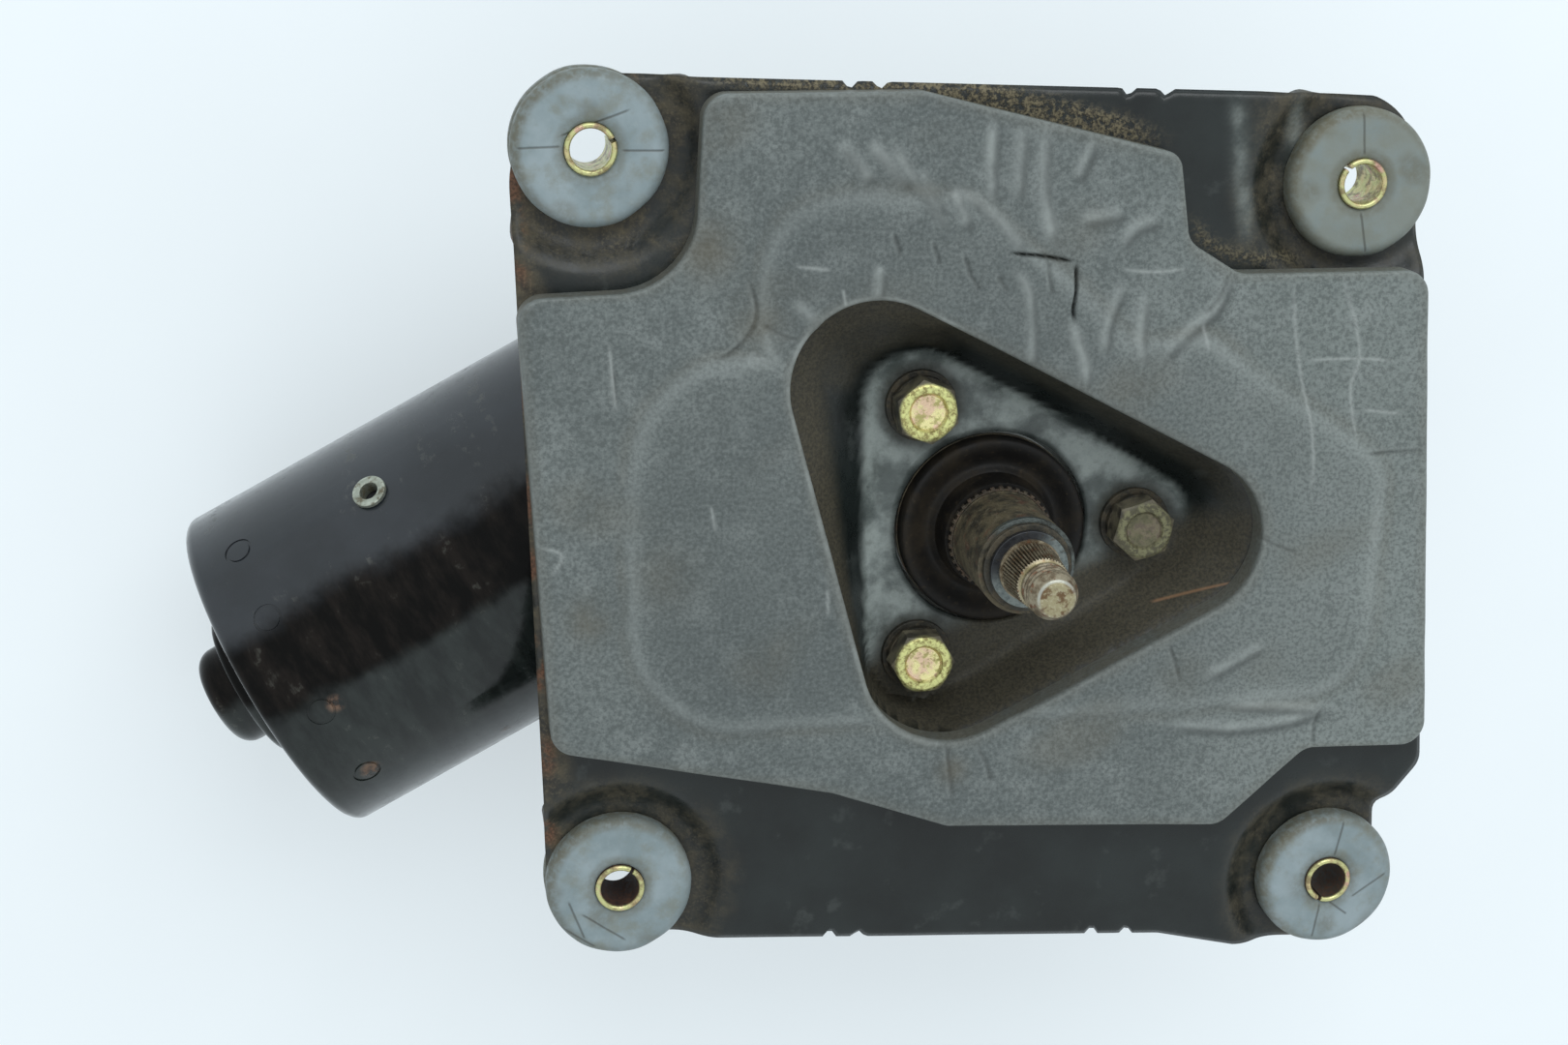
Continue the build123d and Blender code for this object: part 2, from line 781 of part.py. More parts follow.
# ==== gear cover ====================================================================
# Sheet cover under the gear chamber; a tongue carries the connector.
tongue = Rotation(0, 0, connector_angle)
with BuildPart() as gear_cover:
    with BuildSketch(Plane.XY.offset(cover_top)):
        Circle(chamber_outer_r)
        for angle in lug_angles:
            with Locations(Rotation(0, 0, angle) * Pos(lug_centre_r, 0)):
                Circle(lug_r)
            with Locations(Rotation(0, 0, angle) * Pos(chamber_outer_r, 0)):
                Rectangle(2 * (lug_centre_r - chamber_outer_r), 2 * lug_r)
        with Locations(tongue * Pos((connector_end - 1) / 2 + 8, 0)):
            Rectangle(connector_end - 17, connector_width)
    extrude(amount=-cover_thickness)
    with BuildSketch(Plane.XY.offset(cover_top)):
        for angle in lug_angles:
            with Locations(Rotation(0, 0, angle) * Pos(lug_centre_r, 0)):
                Circle(cover_screw_r + 0.2)
    extrude(amount=-cover_thickness, mode=Mode.SUBTRACT)
    with BuildSketch(Plane.XY.offset(cover_top)):
        Circle(cover_ring_r)
        Circle(cover_ring_bore_r, mode=Mode.SUBTRACT)
    extrude(amount=cover_ring_height)
    fillet(gear_cover.faces().sort_by(Axis.Z)[0].outer_wire().edges(), radius=0.8)
save(gear_cover, "gear_cover")

with BuildPart() as cover_gasket:
    with BuildSketch(Plane.XY.offset(cover_top)):
        Circle(chamber_outer_r - 0.4)
        Circle(chamber_r + 0.3, mode=Mode.SUBTRACT)
    extrude(amount=gasket_thickness)
save(cover_gasket, "cover_gasket")

with BuildPart() as cover_screws:
    for angle in lug_angles:
        spot = (lug_centre_r * cos(radians(angle)), lug_centre_r * sin(radians(angle)))
        with BuildSketch(Plane((spot[0], spot[1], cover_bottom))):
            RegularPolygon(screw_flats / 2, 6, major_radius=False)
        extrude(amount=-screw_head)
        with BuildSketch(Plane((spot[0], spot[1], cover_bottom))):
            Circle(cover_screw_r)
        extrude(amount=11)
    chamfer(cover_screws.faces().sort_by(Axis.Z)[:3].edges(), length=0.35)
save(cover_screws, "cover_screws")

# Three sprung fingers inside the cover that feed the park disc.
finger_z = park_top - park_sheet - 0.35
with BuildPart() as contact_carrier:
    with BuildSketch(Plane.XY.offset(cover_top)):
        with Locations(tongue * Pos(carrier_x, 0)):
            Rectangle(*carrier_size)
    extrude(amount=carrier_height)
save(contact_carrier, "contact_carrier")

with BuildPart() as contact_fingers:
    for offset in (-finger_spacing, 0.0, finger_spacing):
        with BuildSketch(Plane.XZ.offset(-offset)):
            with BuildLine():
                Polyline(
                    (carrier_x + 3.0, carrier_top),
                    (carrier_x + 3.0, carrier_top + finger_sheet),
                    (carrier_x - 0.5, carrier_top + finger_sheet),
                    (park_r - 1.8, finger_z),
                    (park_r - 3.4, finger_z),
                    (park_r - 3.4, finger_z - finger_sheet),
                    (park_r - 2.0, finger_z - finger_sheet),
                    (carrier_x - 0.7, carrier_top),
                    close=True,
                )
            make_face()
        extrude(amount=finger_width / 2, both=True)
contact_fingers.part = contact_fingers.part.moved(tongue)
save(contact_fingers, "contact_fingers")

# ==== connector =====================================================================
# Moulded socket on the cover's tongue, mouth pointing away from the gear chamber.
socket_z = cover_top + fit_gap
with BuildPart() as connector_socket:
    with BuildSketch(Plane.XY.offset(socket_z)):
        with Locations(((connector_start + connector_end) / 2, 0)):
            Rectangle(connector_length, socket_width)
    extrude(amount=connector_height)
    fillet(connector_socket.edges().filter_by(Axis.X), radius=1.5)
    with BuildSketch(Plane.YZ.offset(connector_end)):
        with Locations((0, socket_z + connector_height / 2)):
            Rectangle(mouth_width, connector_height - 2 * connector_wall)
    extrude(amount=4.0 - connector_length, mode=Mode.SUBTRACT)
    with BuildSketch(Plane.YZ.offset(connector_start)):
        with GridLocations(terminal_pitch, 1, terminal_count, 1):
            with Locations((0, socket_z + connector_height / 2)):
                Rectangle(terminal_width + 0.1, 0.9)
    extrude(amount=4.0, mode=Mode.SUBTRACT)
    with BuildSketch(Plane.XY.offset(socket_z + connector_height)):
        with Locations((connector_end - 6, 0)):
            Rectangle(3.0, 6.0)
    extrude(amount=1.4)
connector_socket.part = connector_socket.part.moved(tongue)
save(connector_socket, "connector_socket")

with BuildPart() as terminals:
    with BuildSketch(Plane.YZ.offset(connector_start)):
        with GridLocations(terminal_pitch, 1, terminal_count, 1):
            with Locations((0, socket_z + connector_height / 2)):
                Rectangle(terminal_width, 0.8)
    extrude(amount=connector_length - 7.0)
terminals.part = terminals.part.moved(tongue)
save(terminals, "terminals")

# ==== yoke ==========================================================================
# Deep-drawn steel can with a stepped closed end that houses the rear bush.
with BuildPart() as yoke:
    with BuildSketch(motor_section):
        with BuildLine():
            Polyline(
                (yoke_start, lip_r),
                (yoke_start, yoke_bore_r),
                (yoke_end - yoke_wall, yoke_bore_r),
                (yoke_end - yoke_wall, step_r - yoke_wall),
                (step_end - yoke_wall + 0.3, step_r - yoke_wall),
                (step_end - yoke_wall + 0.3, dome_r - 1.4),
                (dome_end - 1.4, dome_r - 1.4),
                (dome_end - 1.4, 0),
                (dome_end, 0),
                (dome_end, dome_r),
                (step_end, dome_r),
                (step_end, step_r),
                (yoke_end, step_r),
                (yoke_end, yoke_r),
                (yoke_start + lip_thickness, yoke_r),
                (yoke_start + lip_thickness, lip_r),
                close=True,
            )
        make_face()
        for spot, radius in (
            ((yoke_end, yoke_r), yoke_corner_r),
            ((dome_end, dome_r), 3.2),
            ((step_end, step_r), 1.2),
        ):
            fillet(vertices().sort_by_distance(spot)[0], radius=radius)
    revolve(axis=motor_axis)
    with BuildSketch(across(yoke_start)):
        for angle in ear_angles:
            with Locations(Rotation(0, 0, angle) * Pos(ear_centre_r, 0)):
                Circle(ear_r)
        Circle(yoke_r - 1, mode=Mode.SUBTRACT)
    extrude(amount=lip_thickness)
    with BuildSketch(across(yoke_start)):
        for angle in ear_angles:
            with Locations(Rotation(0, 0, angle) * Pos(ear_centre_r, 0)):
                Circle(yoke_screw_r + 0.2)
    extrude(amount=lip_thickness, mode=Mode.SUBTRACT)
    with BuildSketch(spoke(rivet_angle, rivet_station)):
        Circle(rivet_r + fit_gap)
    extrude(amount=yoke_r + 5, mode=Mode.SUBTRACT)
    for angle in stake_angles:
        with BuildSketch(spoke(angle, stake_station).offset(yoke_r - stake_depth)):
            Circle(stake_r)
            Circle(stake_r - stake_line, mode=Mode.SUBTRACT)
        extrude(amount=1.0, mode=Mode.SUBTRACT)
save(yoke, "yoke")

# Zinc-plated tubular rivet through the can's side, with its rolled head outside.
with BuildPart() as hollow_rivet:
    with BuildSketch(spoke(rivet_angle, rivet_station)):
        Circle(rivet_r)
        Circle(rivet_bore_r, mode=Mode.SUBTRACT)
    extrude(amount=yoke_r + rivet_head / 2)
    with BuildSketch(spoke(rivet_angle, rivet_station)):
        Circle(rivet_head_r)
    extrude(amount=yoke_bore_r - fit_gap, mode=Mode.SUBTRACT)
    with BuildSketch(spoke(rivet_angle, rivet_station).offset(yoke_r + fit_gap)):
        Circle(rivet_head_r)
        Circle(rivet_bore_r, mode=Mode.SUBTRACT)
    extrude(amount=rivet_head)
save(hollow_rivet, "hollow_rivet")

with BuildPart() as yoke_screws:
    for angle in ear_angles:
        spot = across(yoke_start + lip_thickness) * Rotation(0, 0, angle) * Pos(ear_centre_r, 0)
        seat = Plane(spot)
        with BuildSketch(seat):
            RegularPolygon(screw_flats / 2, 6, major_radius=False)
        extrude(amount=screw_head)
        with BuildSketch(seat):
            Circle(yoke_screw_r)
        extrude(amount=-8.5)
save(yoke_screws, "yoke_screws")

# Bonded arc magnets and the two sprung clips that spread them.
magnet_start = core_start - 3.0
magnet_length = core_end - core_start + 6.0
sector = 2 * yoke_r
for name, turn in (("a", 0.0), ("b", 180.0)):
    with BuildPart() as magnet:
        with BuildSketch(across(magnet_start)):
            Circle(yoke_bore_r - fit_gap)
            Circle(magnet_inner_r, mode=Mode.SUBTRACT)
            Polygon(
                (0, 0),
                (sector, 1.73 * sector),
                (sector, -1.73 * sector),
                align=None,
                rotation=turn,
                mode=Mode.INTERSECT,
            )
        extrude(amount=magnet_length)
    save(magnet, f"magnet_{name}")

with BuildPart() as magnet_springs:
    with BuildSketch(across(magnet_start + 4)):
        Circle(yoke_bore_r - 2 * fit_gap)
        Circle(yoke_bore_r - 0.8, mode=Mode.SUBTRACT)
        for turn in (0.0, 180.0):
            Polygon(
                (0, 0),
                (sector, 2.17 * sector),
                (sector, -2.17 * sector),
                align=None,
                rotation=turn,
                mode=Mode.SUBTRACT,
            )
    extrude(amount=magnet_length - 8)
save(magnet_springs, "magnet_springs")

# ==== armature ======================================================================
thread_turns = 8
worm_length = thread_turns * worm_lead
worm_place = Location(Plane(origin=motor_foot - motor_dir * (worm_length / 2),
                            x_dir=side_dir * -1, z_dir=motor_dir))
worm_root_r = worm_pitch_r - 1.25 * gear_module
with BuildPart() as worm_thread:
    with BuildLine():
        path = Helix(pitch=worm_lead, height=worm_length, radius=worm_pitch_r)
    with BuildSketch(Plane(origin=path @ 0, x_dir=(1, 0, 0), z_dir=path % 0)):
        Polygon(
            (-tooth_base - 0.2, -tooth_half - pressure_slope * (tooth_base + 0.2)),
            (gear_module, -tooth_half + pressure_slope * gear_module),
            (gear_module, tooth_half - pressure_slope * gear_module),
            (-tooth_base - 0.2, tooth_half + pressure_slope * (tooth_base + 0.2)),
            align=None,
        )
    sweep(path=path, is_frenet=True)
with BuildPart() as armature_shaft:
    with BuildSketch(motor_section):
        Polygon(
            (pin_end + 4.0, 0),
            (pin_end + 4.0, end_journal_r),
            (pin_end + 11.2, end_journal_r),
            (pin_end + 11.2, worm_root_r),
            (14.0, worm_root_r),
            (15.0, 4.5),
            (17.0, 4.5),
            (17.0, 7.2),
            (bearing_start, 7.2),
            (bearing_start, journal_r),
            (bearing_start + bearing_width + 1.5, journal_r),
            (bearing_start + bearing_width + 1.5, shaft_mid_r),
            (shaft_end - 13, shaft_mid_r),
            (shaft_end - 13, end_journal_r),
            (shaft_end, end_journal_r),
            (shaft_end, 0),
            align=None,
        )
    revolve(axis=motor_axis)
    add(worm_thread.part.moved(worm_place))
save(armature_shaft, "armature_shaft")

with BuildPart() as armature_core:
    with BuildSketch(across(core_start)):
        Circle(core_r)
        with PolarLocations(core_r - slot_depth, core_slots):
            Circle(slot_r, mode=Mode.SUBTRACT)
        with PolarLocations(core_r - 1.5, core_slots):
            Rectangle(*slot_mouth, mode=Mode.SUBTRACT)
        Circle(shaft_mid_r, mode=Mode.SUBTRACT)
    extrude(amount=core_end - core_start)
save(armature_core, "armature_core")

with BuildPart() as windings:
    with BuildSketch(across(core_start - 5.5)):
        with PolarLocations(core_r - slot_depth, core_slots):
            Circle(slot_r - 0.2)
    extrude(amount=core_end - core_start + 11)
    for start in (core_start - 5.5, core_end + 0.3):
        with BuildSketch(across(start)):
            Circle(core_r - slot_depth + slot_r)
            Circle(2 * shaft_mid_r, mode=Mode.SUBTRACT)
        extrude(amount=5.2)
save(windings, "windings")

with BuildPart() as commutator:
    with BuildSketch(across(commutator_start)):
        Circle(commutator_r)
        with PolarLocations(commutator_r, core_slots, start_angle=15):
            Rectangle(1.6, 0.5, mode=Mode.SUBTRACT)
        Circle(shaft_mid_r, mode=Mode.SUBTRACT)
    extrude(amount=commutator_end - commutator_start)
save(commutator, "commutator")

# ==== armature bearings =============================================================
bearing_mid = bearing_start + bearing_width / 2
ball_r = 1.6
ball_circle_r = (journal_r + bearing_r) / 2
for name, outer, inner in (
    ("bearing_inner_ring", ball_circle_r - 1.1, journal_r),
    ("bearing_outer_ring", bearing_r - 0.02, ball_circle_r + 1.1),
):
    with BuildPart() as race:
        with BuildSketch(motor_section):
            Polygon(
                (bearing_start + 0.05, inner),
                (bearing_start + bearing_width, inner),
                (bearing_start + bearing_width, outer),
                (bearing_start + 0.05, outer),
                align=None,
            )
            with Locations((bearing_mid, ball_circle_r)):
                Circle(ball_r + 0.04, mode=Mode.SUBTRACT)
        revolve(axis=motor_axis)
    save(race, name)

with BuildPart() as bearing_balls:
    for index in range(11):
        angle = index * 360 / 11
        centre = spoke(angle, bearing_mid).offset(ball_circle_r).origin
        with Locations(centre):
            Sphere(ball_r)
save(bearing_balls, "bearing_balls")

with BuildPart() as bearing_clip:
    with BuildSketch(across(bearing_start + bearing_width + 0.1)):
        Circle(bearing_r - 0.05)
        Circle(bearing_r - 2.0, mode=Mode.SUBTRACT)
        with Locations((0, bearing_r)):
            Rectangle(5.0, 6.0, mode=Mode.SUBTRACT)
    extrude(amount=1.0)
save(bearing_clip, "bearing_clip")

with BuildPart() as front_bush:
    with BuildSketch(across(pin_end + 4.7)):
        Circle(4.98)
        Circle(end_journal_r + running_gap, mode=Mode.SUBTRACT)
    extrude(amount=6.0)
save(front_bush, "front_bush")

with BuildPart() as thrust_ball:
    with Locations(motor_foot + motor_dir * (pin_end + 1.97)):
        Sphere(1.95)
save(thrust_ball, "thrust_ball")

with BuildPart() as thrust_screw:
    with BuildSketch(across(pin_end - 12)):
        Circle(thread_r - 0.02)
    extrude(amount=12)
    with BuildSketch(across(pin_end - 12)):
        Rectangle(1.2, 9, mode=Mode.ADD)
    extrude(amount=1.5, mode=Mode.SUBTRACT)
    chamfer(thrust_screw.edges().filter_by(GeomType.CIRCLE).sort_by_distance(
        across(pin_end).origin)[0], length=0.5)
save(thrust_screw, "thrust_screw")

with BuildPart() as lock_nut:
    with BuildSketch(across(tunnel_start - 4.05)):
        RegularPolygon(6.5, 6, major_radius=False)
        Circle(thread_r, mode=Mode.SUBTRACT)
    extrude(amount=4.0)
save(lock_nut, "lock_nut")

rear_bush_end = rear_bush_start + rear_bush_length
with BuildPart() as rear_bush:
    with BuildSketch(motor_section):
        with BuildLine():
            Polyline(
                (rear_bush_start, 5.6),
                (rear_bush_start, end_journal_r + running_gap),
                (rear_bush_end, end_journal_r + running_gap),
                (rear_bush_end, 5.6),
            )
            ThreePointArc(
                (rear_bush_end, 5.6),
                ((rear_bush_start + rear_bush_end) / 2, dome_r - 1.45),
                (rear_bush_start, 5.6),
            )
        make_face()
    revolve(axis=motor_axis)
save(rear_bush, "rear_bush")

with BuildPart() as bush_retainer:
    with BuildSketch(across(rear_bush_start - 0.65)):
        Circle(step_r - yoke_wall - 0.03)
        Circle(6.6, mode=Mode.SUBTRACT)
        with PolarLocations(6.8, 6):
            Rectangle(2.4, 1.2, mode=Mode.SUBTRACT)
    extrude(amount=0.6)
save(bush_retainer, "bush_retainer")

# ==== brush gear ====================================================================
with BuildPart() as brush_card:
    with BuildSketch(across(card_start)):
        Circle(card_r)
        Circle(commutator_r + 1.5, mode=Mode.SUBTRACT)
    extrude(amount=card_thickness)
save(brush_card, "brush_card")

brush_mid = brush_start + brush_axial / 2
box_floor = card_start + card_thickness
with BuildPart() as brush_boxes:
    for angle in brush_angles.values():
        frame = spoke(angle, brush_mid).offset(box_inner)
        with BuildSketch(frame):
            Rectangle(
                brush_axial + 2 * (box_gap + box_wall), brush_width + 2 * (box_gap + box_wall)
            )
        extrude(amount=box_outer - box_inner)
        with BuildSketch(frame):
            Rectangle(brush_axial + 2 * box_gap, brush_width + 2 * box_gap)
        extrude(amount=box_outer - box_inner - box_wall, mode=Mode.SUBTRACT)
        with BuildSketch(across(box_floor)):
            with Locations(Rotation(0, 0, angle) * Pos(box_inner + 4.5, 0)):
                Rectangle(8.0, 4.0)
        extrude(amount=brush_start - box_floor - box_gap - box_wall + 0.3)
save(brush_boxes, "brush_boxes")

spring_r = 1.5
wire_r = 0.22
for name, angle in brush_angles.items():
    with BuildPart() as brush:
        with BuildSketch(spoke(angle, brush_mid)):
            Rectangle(brush_axial, brush_width)
        extrude(amount=brush_outer)
        with BuildSketch(across(brush_start - 1)):
            Circle(commutator_r + 0.04)
        extrude(amount=brush_axial + 2, mode=Mode.SUBTRACT)
    save(brush, f"brush_{name}")

    free = box_outer - box_wall - brush_outer - 2 * wire_r
    with BuildPart() as spring:
        with BuildLine():
            coil = Helix(pitch=free / 4, height=free, radius=spring_r)
        with BuildSketch(Plane(origin=coil @ 0, z_dir=coil % 0)):
            Circle(wire_r)
        sweep(path=coil, is_frenet=True)
    seat = spoke(angle, brush_mid).offset(brush_outer + wire_r)
    spring.part = spring.part.moved(Location(seat))
    save(spring, f"brush_spring_{name}")

with BuildPart() as choke_coils:
    for angle in (55.0, 235.0):
        place = across(box_floor + 2.2) * Rotation(0, 0, angle) * Pos(19.0, 0) * Rotation(90, 0, 0)
        with BuildSketch(Plane(place)):
            Circle(2.1)
        extrude(amount=5.0, both=True)
save(choke_coils, "choke_coils")
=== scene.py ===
import json
from functools import partial
from math import cos, radians, sin, tan

import bmesh
import bpy
import numpy as np
from bpy.props import FloatProperty, FloatVectorProperty, IntProperty, PointerProperty
from mathutils import Matrix, Vector


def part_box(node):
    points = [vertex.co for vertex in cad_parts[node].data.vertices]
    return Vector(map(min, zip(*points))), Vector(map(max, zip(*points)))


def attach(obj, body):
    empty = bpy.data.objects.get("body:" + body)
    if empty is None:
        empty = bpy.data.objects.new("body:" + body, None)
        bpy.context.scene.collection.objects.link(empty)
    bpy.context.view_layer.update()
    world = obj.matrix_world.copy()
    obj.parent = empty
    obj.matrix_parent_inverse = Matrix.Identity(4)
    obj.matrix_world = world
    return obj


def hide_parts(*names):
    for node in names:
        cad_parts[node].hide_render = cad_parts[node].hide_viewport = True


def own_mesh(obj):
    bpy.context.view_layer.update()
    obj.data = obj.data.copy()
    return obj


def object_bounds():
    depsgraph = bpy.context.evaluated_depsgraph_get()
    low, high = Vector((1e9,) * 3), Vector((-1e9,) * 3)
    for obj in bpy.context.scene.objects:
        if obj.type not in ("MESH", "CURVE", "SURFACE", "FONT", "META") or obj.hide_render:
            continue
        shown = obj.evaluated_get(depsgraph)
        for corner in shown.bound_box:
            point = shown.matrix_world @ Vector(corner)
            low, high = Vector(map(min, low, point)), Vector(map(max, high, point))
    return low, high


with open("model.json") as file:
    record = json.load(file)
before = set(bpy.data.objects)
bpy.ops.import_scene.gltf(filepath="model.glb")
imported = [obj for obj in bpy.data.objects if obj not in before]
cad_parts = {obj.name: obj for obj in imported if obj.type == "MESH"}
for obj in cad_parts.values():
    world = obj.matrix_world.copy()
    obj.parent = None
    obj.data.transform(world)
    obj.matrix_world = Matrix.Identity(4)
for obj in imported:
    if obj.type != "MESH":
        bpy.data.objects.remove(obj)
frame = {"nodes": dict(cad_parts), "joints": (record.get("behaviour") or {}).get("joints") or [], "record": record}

bl_info = {
    "name": "Wiper motor dressing",
    "version": (1, 0, 0),
    "blender": (4, 5, 0),
    "location": "View3D > Sidebar > Wiper motor",
    "description": "Builds the visible pieces, finishes and stage of a wiper motor",
    "category": "Object",
}

# Lengths are in millimetres in the row frame and become metres when a mesh is made.
MM = 0.001
CAD_BOX = [[float(c) for c in corner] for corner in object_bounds()]
FRAME_BODY = "motor_frame"
OUTPUT_BODY = "output"
HOMES = {node: body for body, nodes in frame["record"]["behaviour"]["bodies"].items() for node in nodes}
SLOTS = {part["node"]: part["material_slot"] for part in frame["record"]["subparts"]}
# How near points are before they become one, in metres.
WELD = 1e-6
CAD_WELD = 2e-6
# For the CAD's own triangles: faces that meet at less than the first angle are joined, and
# edges over the second are sharp, in degrees.
CAD_FLAT = 0.6
CAD_SHARP = 35.0


def node_box(node):
    """Lowest and highest corner of a CAD node in millimetres."""
    low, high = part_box(node)
    return np.array(low) / MM, np.array(high) / MM


def node_middle(node):
    """Middle of a CAD node's box in millimetres."""
    low, high = node_box(node)
    return (low + high) / 2


CORNERS = {name: node_middle(f"grommet_{name}")[:2] for name in ("tl", "tr", "bl", "br")}
LOWEST = CAD_BOX[0][2] / MM
HEAD_TOP = node_box("mounting_bolts")[1][2]

# ---- places shared by several pieces ------------------------------------------------
PLATEAU_TOP = -1.0
SEAT_TOP = -4.4
SEAT_R = 15.2
SEAT_SLOPE_R = 18.6
FLOOR_TOP = -11.0
SHEET = 2.0
# Room between the sheet's outline and the CAD's box, for its lower skin to lean into.
SHEET_LEAN = 0.42
FLOOR_HOLE_R = 16.6
GROMMET_HOLE_R = 8.7
WINDOW = (((-24.5, 26.5), 14.0), ((28.5, 2.5), 14.0), ((-8.5, -18.0), 15.0))
WELL_MARGIN = -0.3
FLOOR_CORNER_R = 8.6
BOLT_CIRCLE_R = 25.0
BOLT_ANGLES = (123.5, 243.5, 3.5)
BOLT_TURNS = (12.0, 34.0, 50.0)
PLAIN_WASHER = 1.1
LOCK_WASHER = 1.4
HEAD_FOOT = FLOOR_TOP + PLAIN_WASHER + LOCK_WASHER
SHAFT_TIP = 29.6
BOLTS = [(BOLT_CIRCLE_R * cos(radians(a)), BOLT_CIRCLE_R * sin(radians(a))) for a in BOLT_ANGLES]
PLATE_CORNERS = (
    ((-84.4, 72.4), 17.0),
    ((63.2, 76.0), 12.0),
    ((78.6, -38.5), 4.0),
    ((72.4, -47.2), 4.0),
    ((75.6, -73.6), 12.0),
    ((50.0, -73.4), 4.0),
    ((34.0, -70.6), 4.0),
    ((-72.0, -70.2), 12.0),
)
PAD_CORNERS = (
    ((-54.5, 71.0), 4.0), ((-20.5, 73.0), 4.0), ((21.5, 65.3), 3.0), ((24.4, 51.6), 4.0),
    ((33.5, 46.7), 5.0), ((65.5, 48.4), 4.0), ((76.6, -33.5), 4.0), ((55.0, -34.2), 4.0),
    ((41.0, -48.2), 4.0), ((-7.0, -48.2), 4.0), ((-27.0, -42.2), 4.0), ((-73.5, -35.0), 4.0),
    ((-81.8, 38.6), 4.0), ((-54.5, 41.0), 13.0),
)
# Relief notches in the sheet's edges: the notch pairs stand at both ends of a small tab.
TABS = ((-28.8, 4.8, 1), (16.4, 6.2, 1), (-22.0, 5.0, -1), (25.0, 6.2, -1))


# ==== shapes in numbers ==============================================================
BEYOND = 1e9
TINY = 1e-6


def smooth(t):
    """Smooth step: 0 below 0, 1 above 1, and 3t^2 - 2t^3 between."""
    t = np.clip(t, 0.0, 1.0)
    return t * t * (3 - 2 * t)


def soft_clip(t, bend):
    """t held between 0 and 1, with a parabola of half-width bend at both corners."""
    low = np.where(t < -bend, 0.0, np.where(t > bend, t, (t + bend) ** 2 / (4 * bend)))
    s = 1 - low
    return 1 - np.where(s < -bend, 0.0, np.where(s > bend, s, (s + bend) ** 2 / (4 * bend)))


def waves(x, y, size, seed):
    """Smooth uneven field near -1..1: a sum of seeded sine waves about one size long."""
    rng = np.random.default_rng(seed)
    total = np.zeros_like(x)
    for turn, phase, stretch in zip(
        rng.uniform(0, 2 * np.pi, 9), rng.uniform(0, 2 * np.pi, 9), rng.uniform(0.6, 1.7, 9)
    ):
        total = total + np.sin((x * np.cos(turn) + y * np.sin(turn)) * 2 * np.pi * stretch / size + phase)
    return total / 4.0


def supports(circles, trim, count):
    """Supporting lines of a band stretched round circles: each line's direction, and how
    far out the furthest circle reaches along it."""
    for turn in np.linspace(0, 2 * np.pi, count, endpoint=False):
        c, s = np.cos(turn), np.sin(turn)
        yield c, s, max(cx * c + cy * s + r - trim for (cx, cy), r in circles)


def hull_distance(x, y, circles, trim=0.0):
    """Signed distance to a band stretched round circles: the largest distance past any of
    its supporting lines."""
    far = np.full(np.shape(x), -BEYOND)
    for c, s, reach in supports(circles, trim, 144):
        far = np.maximum(far, x * c + y * s - reach)
    return far


def hull_rim(angle, centre, circles):
    """Points where rays from a centre leave the band: the nearest crossing of any
    supporting line."""
    dx, dy = np.cos(angle), np.sin(angle)
    best = np.full(angle.shape, BEYOND)
    for c, s, reach in supports(circles, 0.0, 720):
        ahead = dx * c + dy * s
        gap = reach - centre[0] * c - centre[1] * s
        best = np.minimum(best, np.where(ahead > TINY, gap / np.maximum(ahead, TINY), BEYOND))
    return centre[0] + best * dx, centre[1] + best * dy


def rounded_outline(corners, count):
    """Closed outline through corners, each rounded by an arc of its own radius, as count
    points evenly spaced along it."""
    points = np.array([c for c, _ in corners], float)
    pieces = []
    for index, (_, radius) in enumerate(corners):
        here = points[index]
        back = points[index - 1] - here
        ahead = points[(index + 1) % len(points)] - here
        back, ahead = back / np.linalg.norm(back), ahead / np.linalg.norm(ahead)
        half = np.arccos(np.clip(back @ ahead, -1, 1)) / 2
        middle = (back + ahead) / np.linalg.norm(back + ahead)
        centre = here + middle * radius / np.sin(half)
        start, end = here + back * radius / np.tan(half), here + ahead * radius / np.tan(half)
        sweep = np.linspace(0, 1, 16)[:, None]
        chord = (start - centre) * (1 - sweep) + (end - centre) * sweep
        pieces.append(centre + chord / np.linalg.norm(chord, axis=1, keepdims=True) * radius)
    path = np.concatenate(pieces + [pieces[0][:1]])
    along = np.concatenate([[0], np.cumsum(np.linalg.norm(np.diff(path, axis=0), axis=1))])
    spots = np.linspace(0, along[-1], count, endpoint=False)
    return np.interp(spots, along, path[:, 0]), np.interp(spots, along, path[:, 1])


def stroke(x, y, path, width):
    """Bell of the distance to a smooth line through a few points, 1 on the line and fading
    towards both of its ends. The line's corners are cut three times to round them."""
    line = np.array(path, float)
    for _ in range(3 if len(line) > 2 else 0):
        cut = np.stack([0.75 * line[:-1] + 0.25 * line[1:], 0.25 * line[:-1] + 0.75 * line[1:]], 1)
        line = np.concatenate([line[:1], cut.reshape(-1, 2), line[-1:]])
    steps = np.hypot(*np.diff(line, axis=0).T)
    total, passed = steps.sum(), 0.0
    mark = np.zeros_like(x)
    for (ax, ay), (bx, by), length in zip(line[:-1], line[1:], steps):
        ux, uy = (bx - ax) / length, (by - ay) / length
        near = np.clip((x - ax) * ux + (y - ay) * uy, 0, length)
        off = np.hypot(x - ax - near * ux, y - ay - near * uy)
        along = passed + near
        fade = smooth(along / (0.22 * total)) * smooth((total - along) / (0.22 * total))
        mark = np.maximum(mark, np.exp(-((off / width) ** 2)) * fade)
        passed += length
    return mark


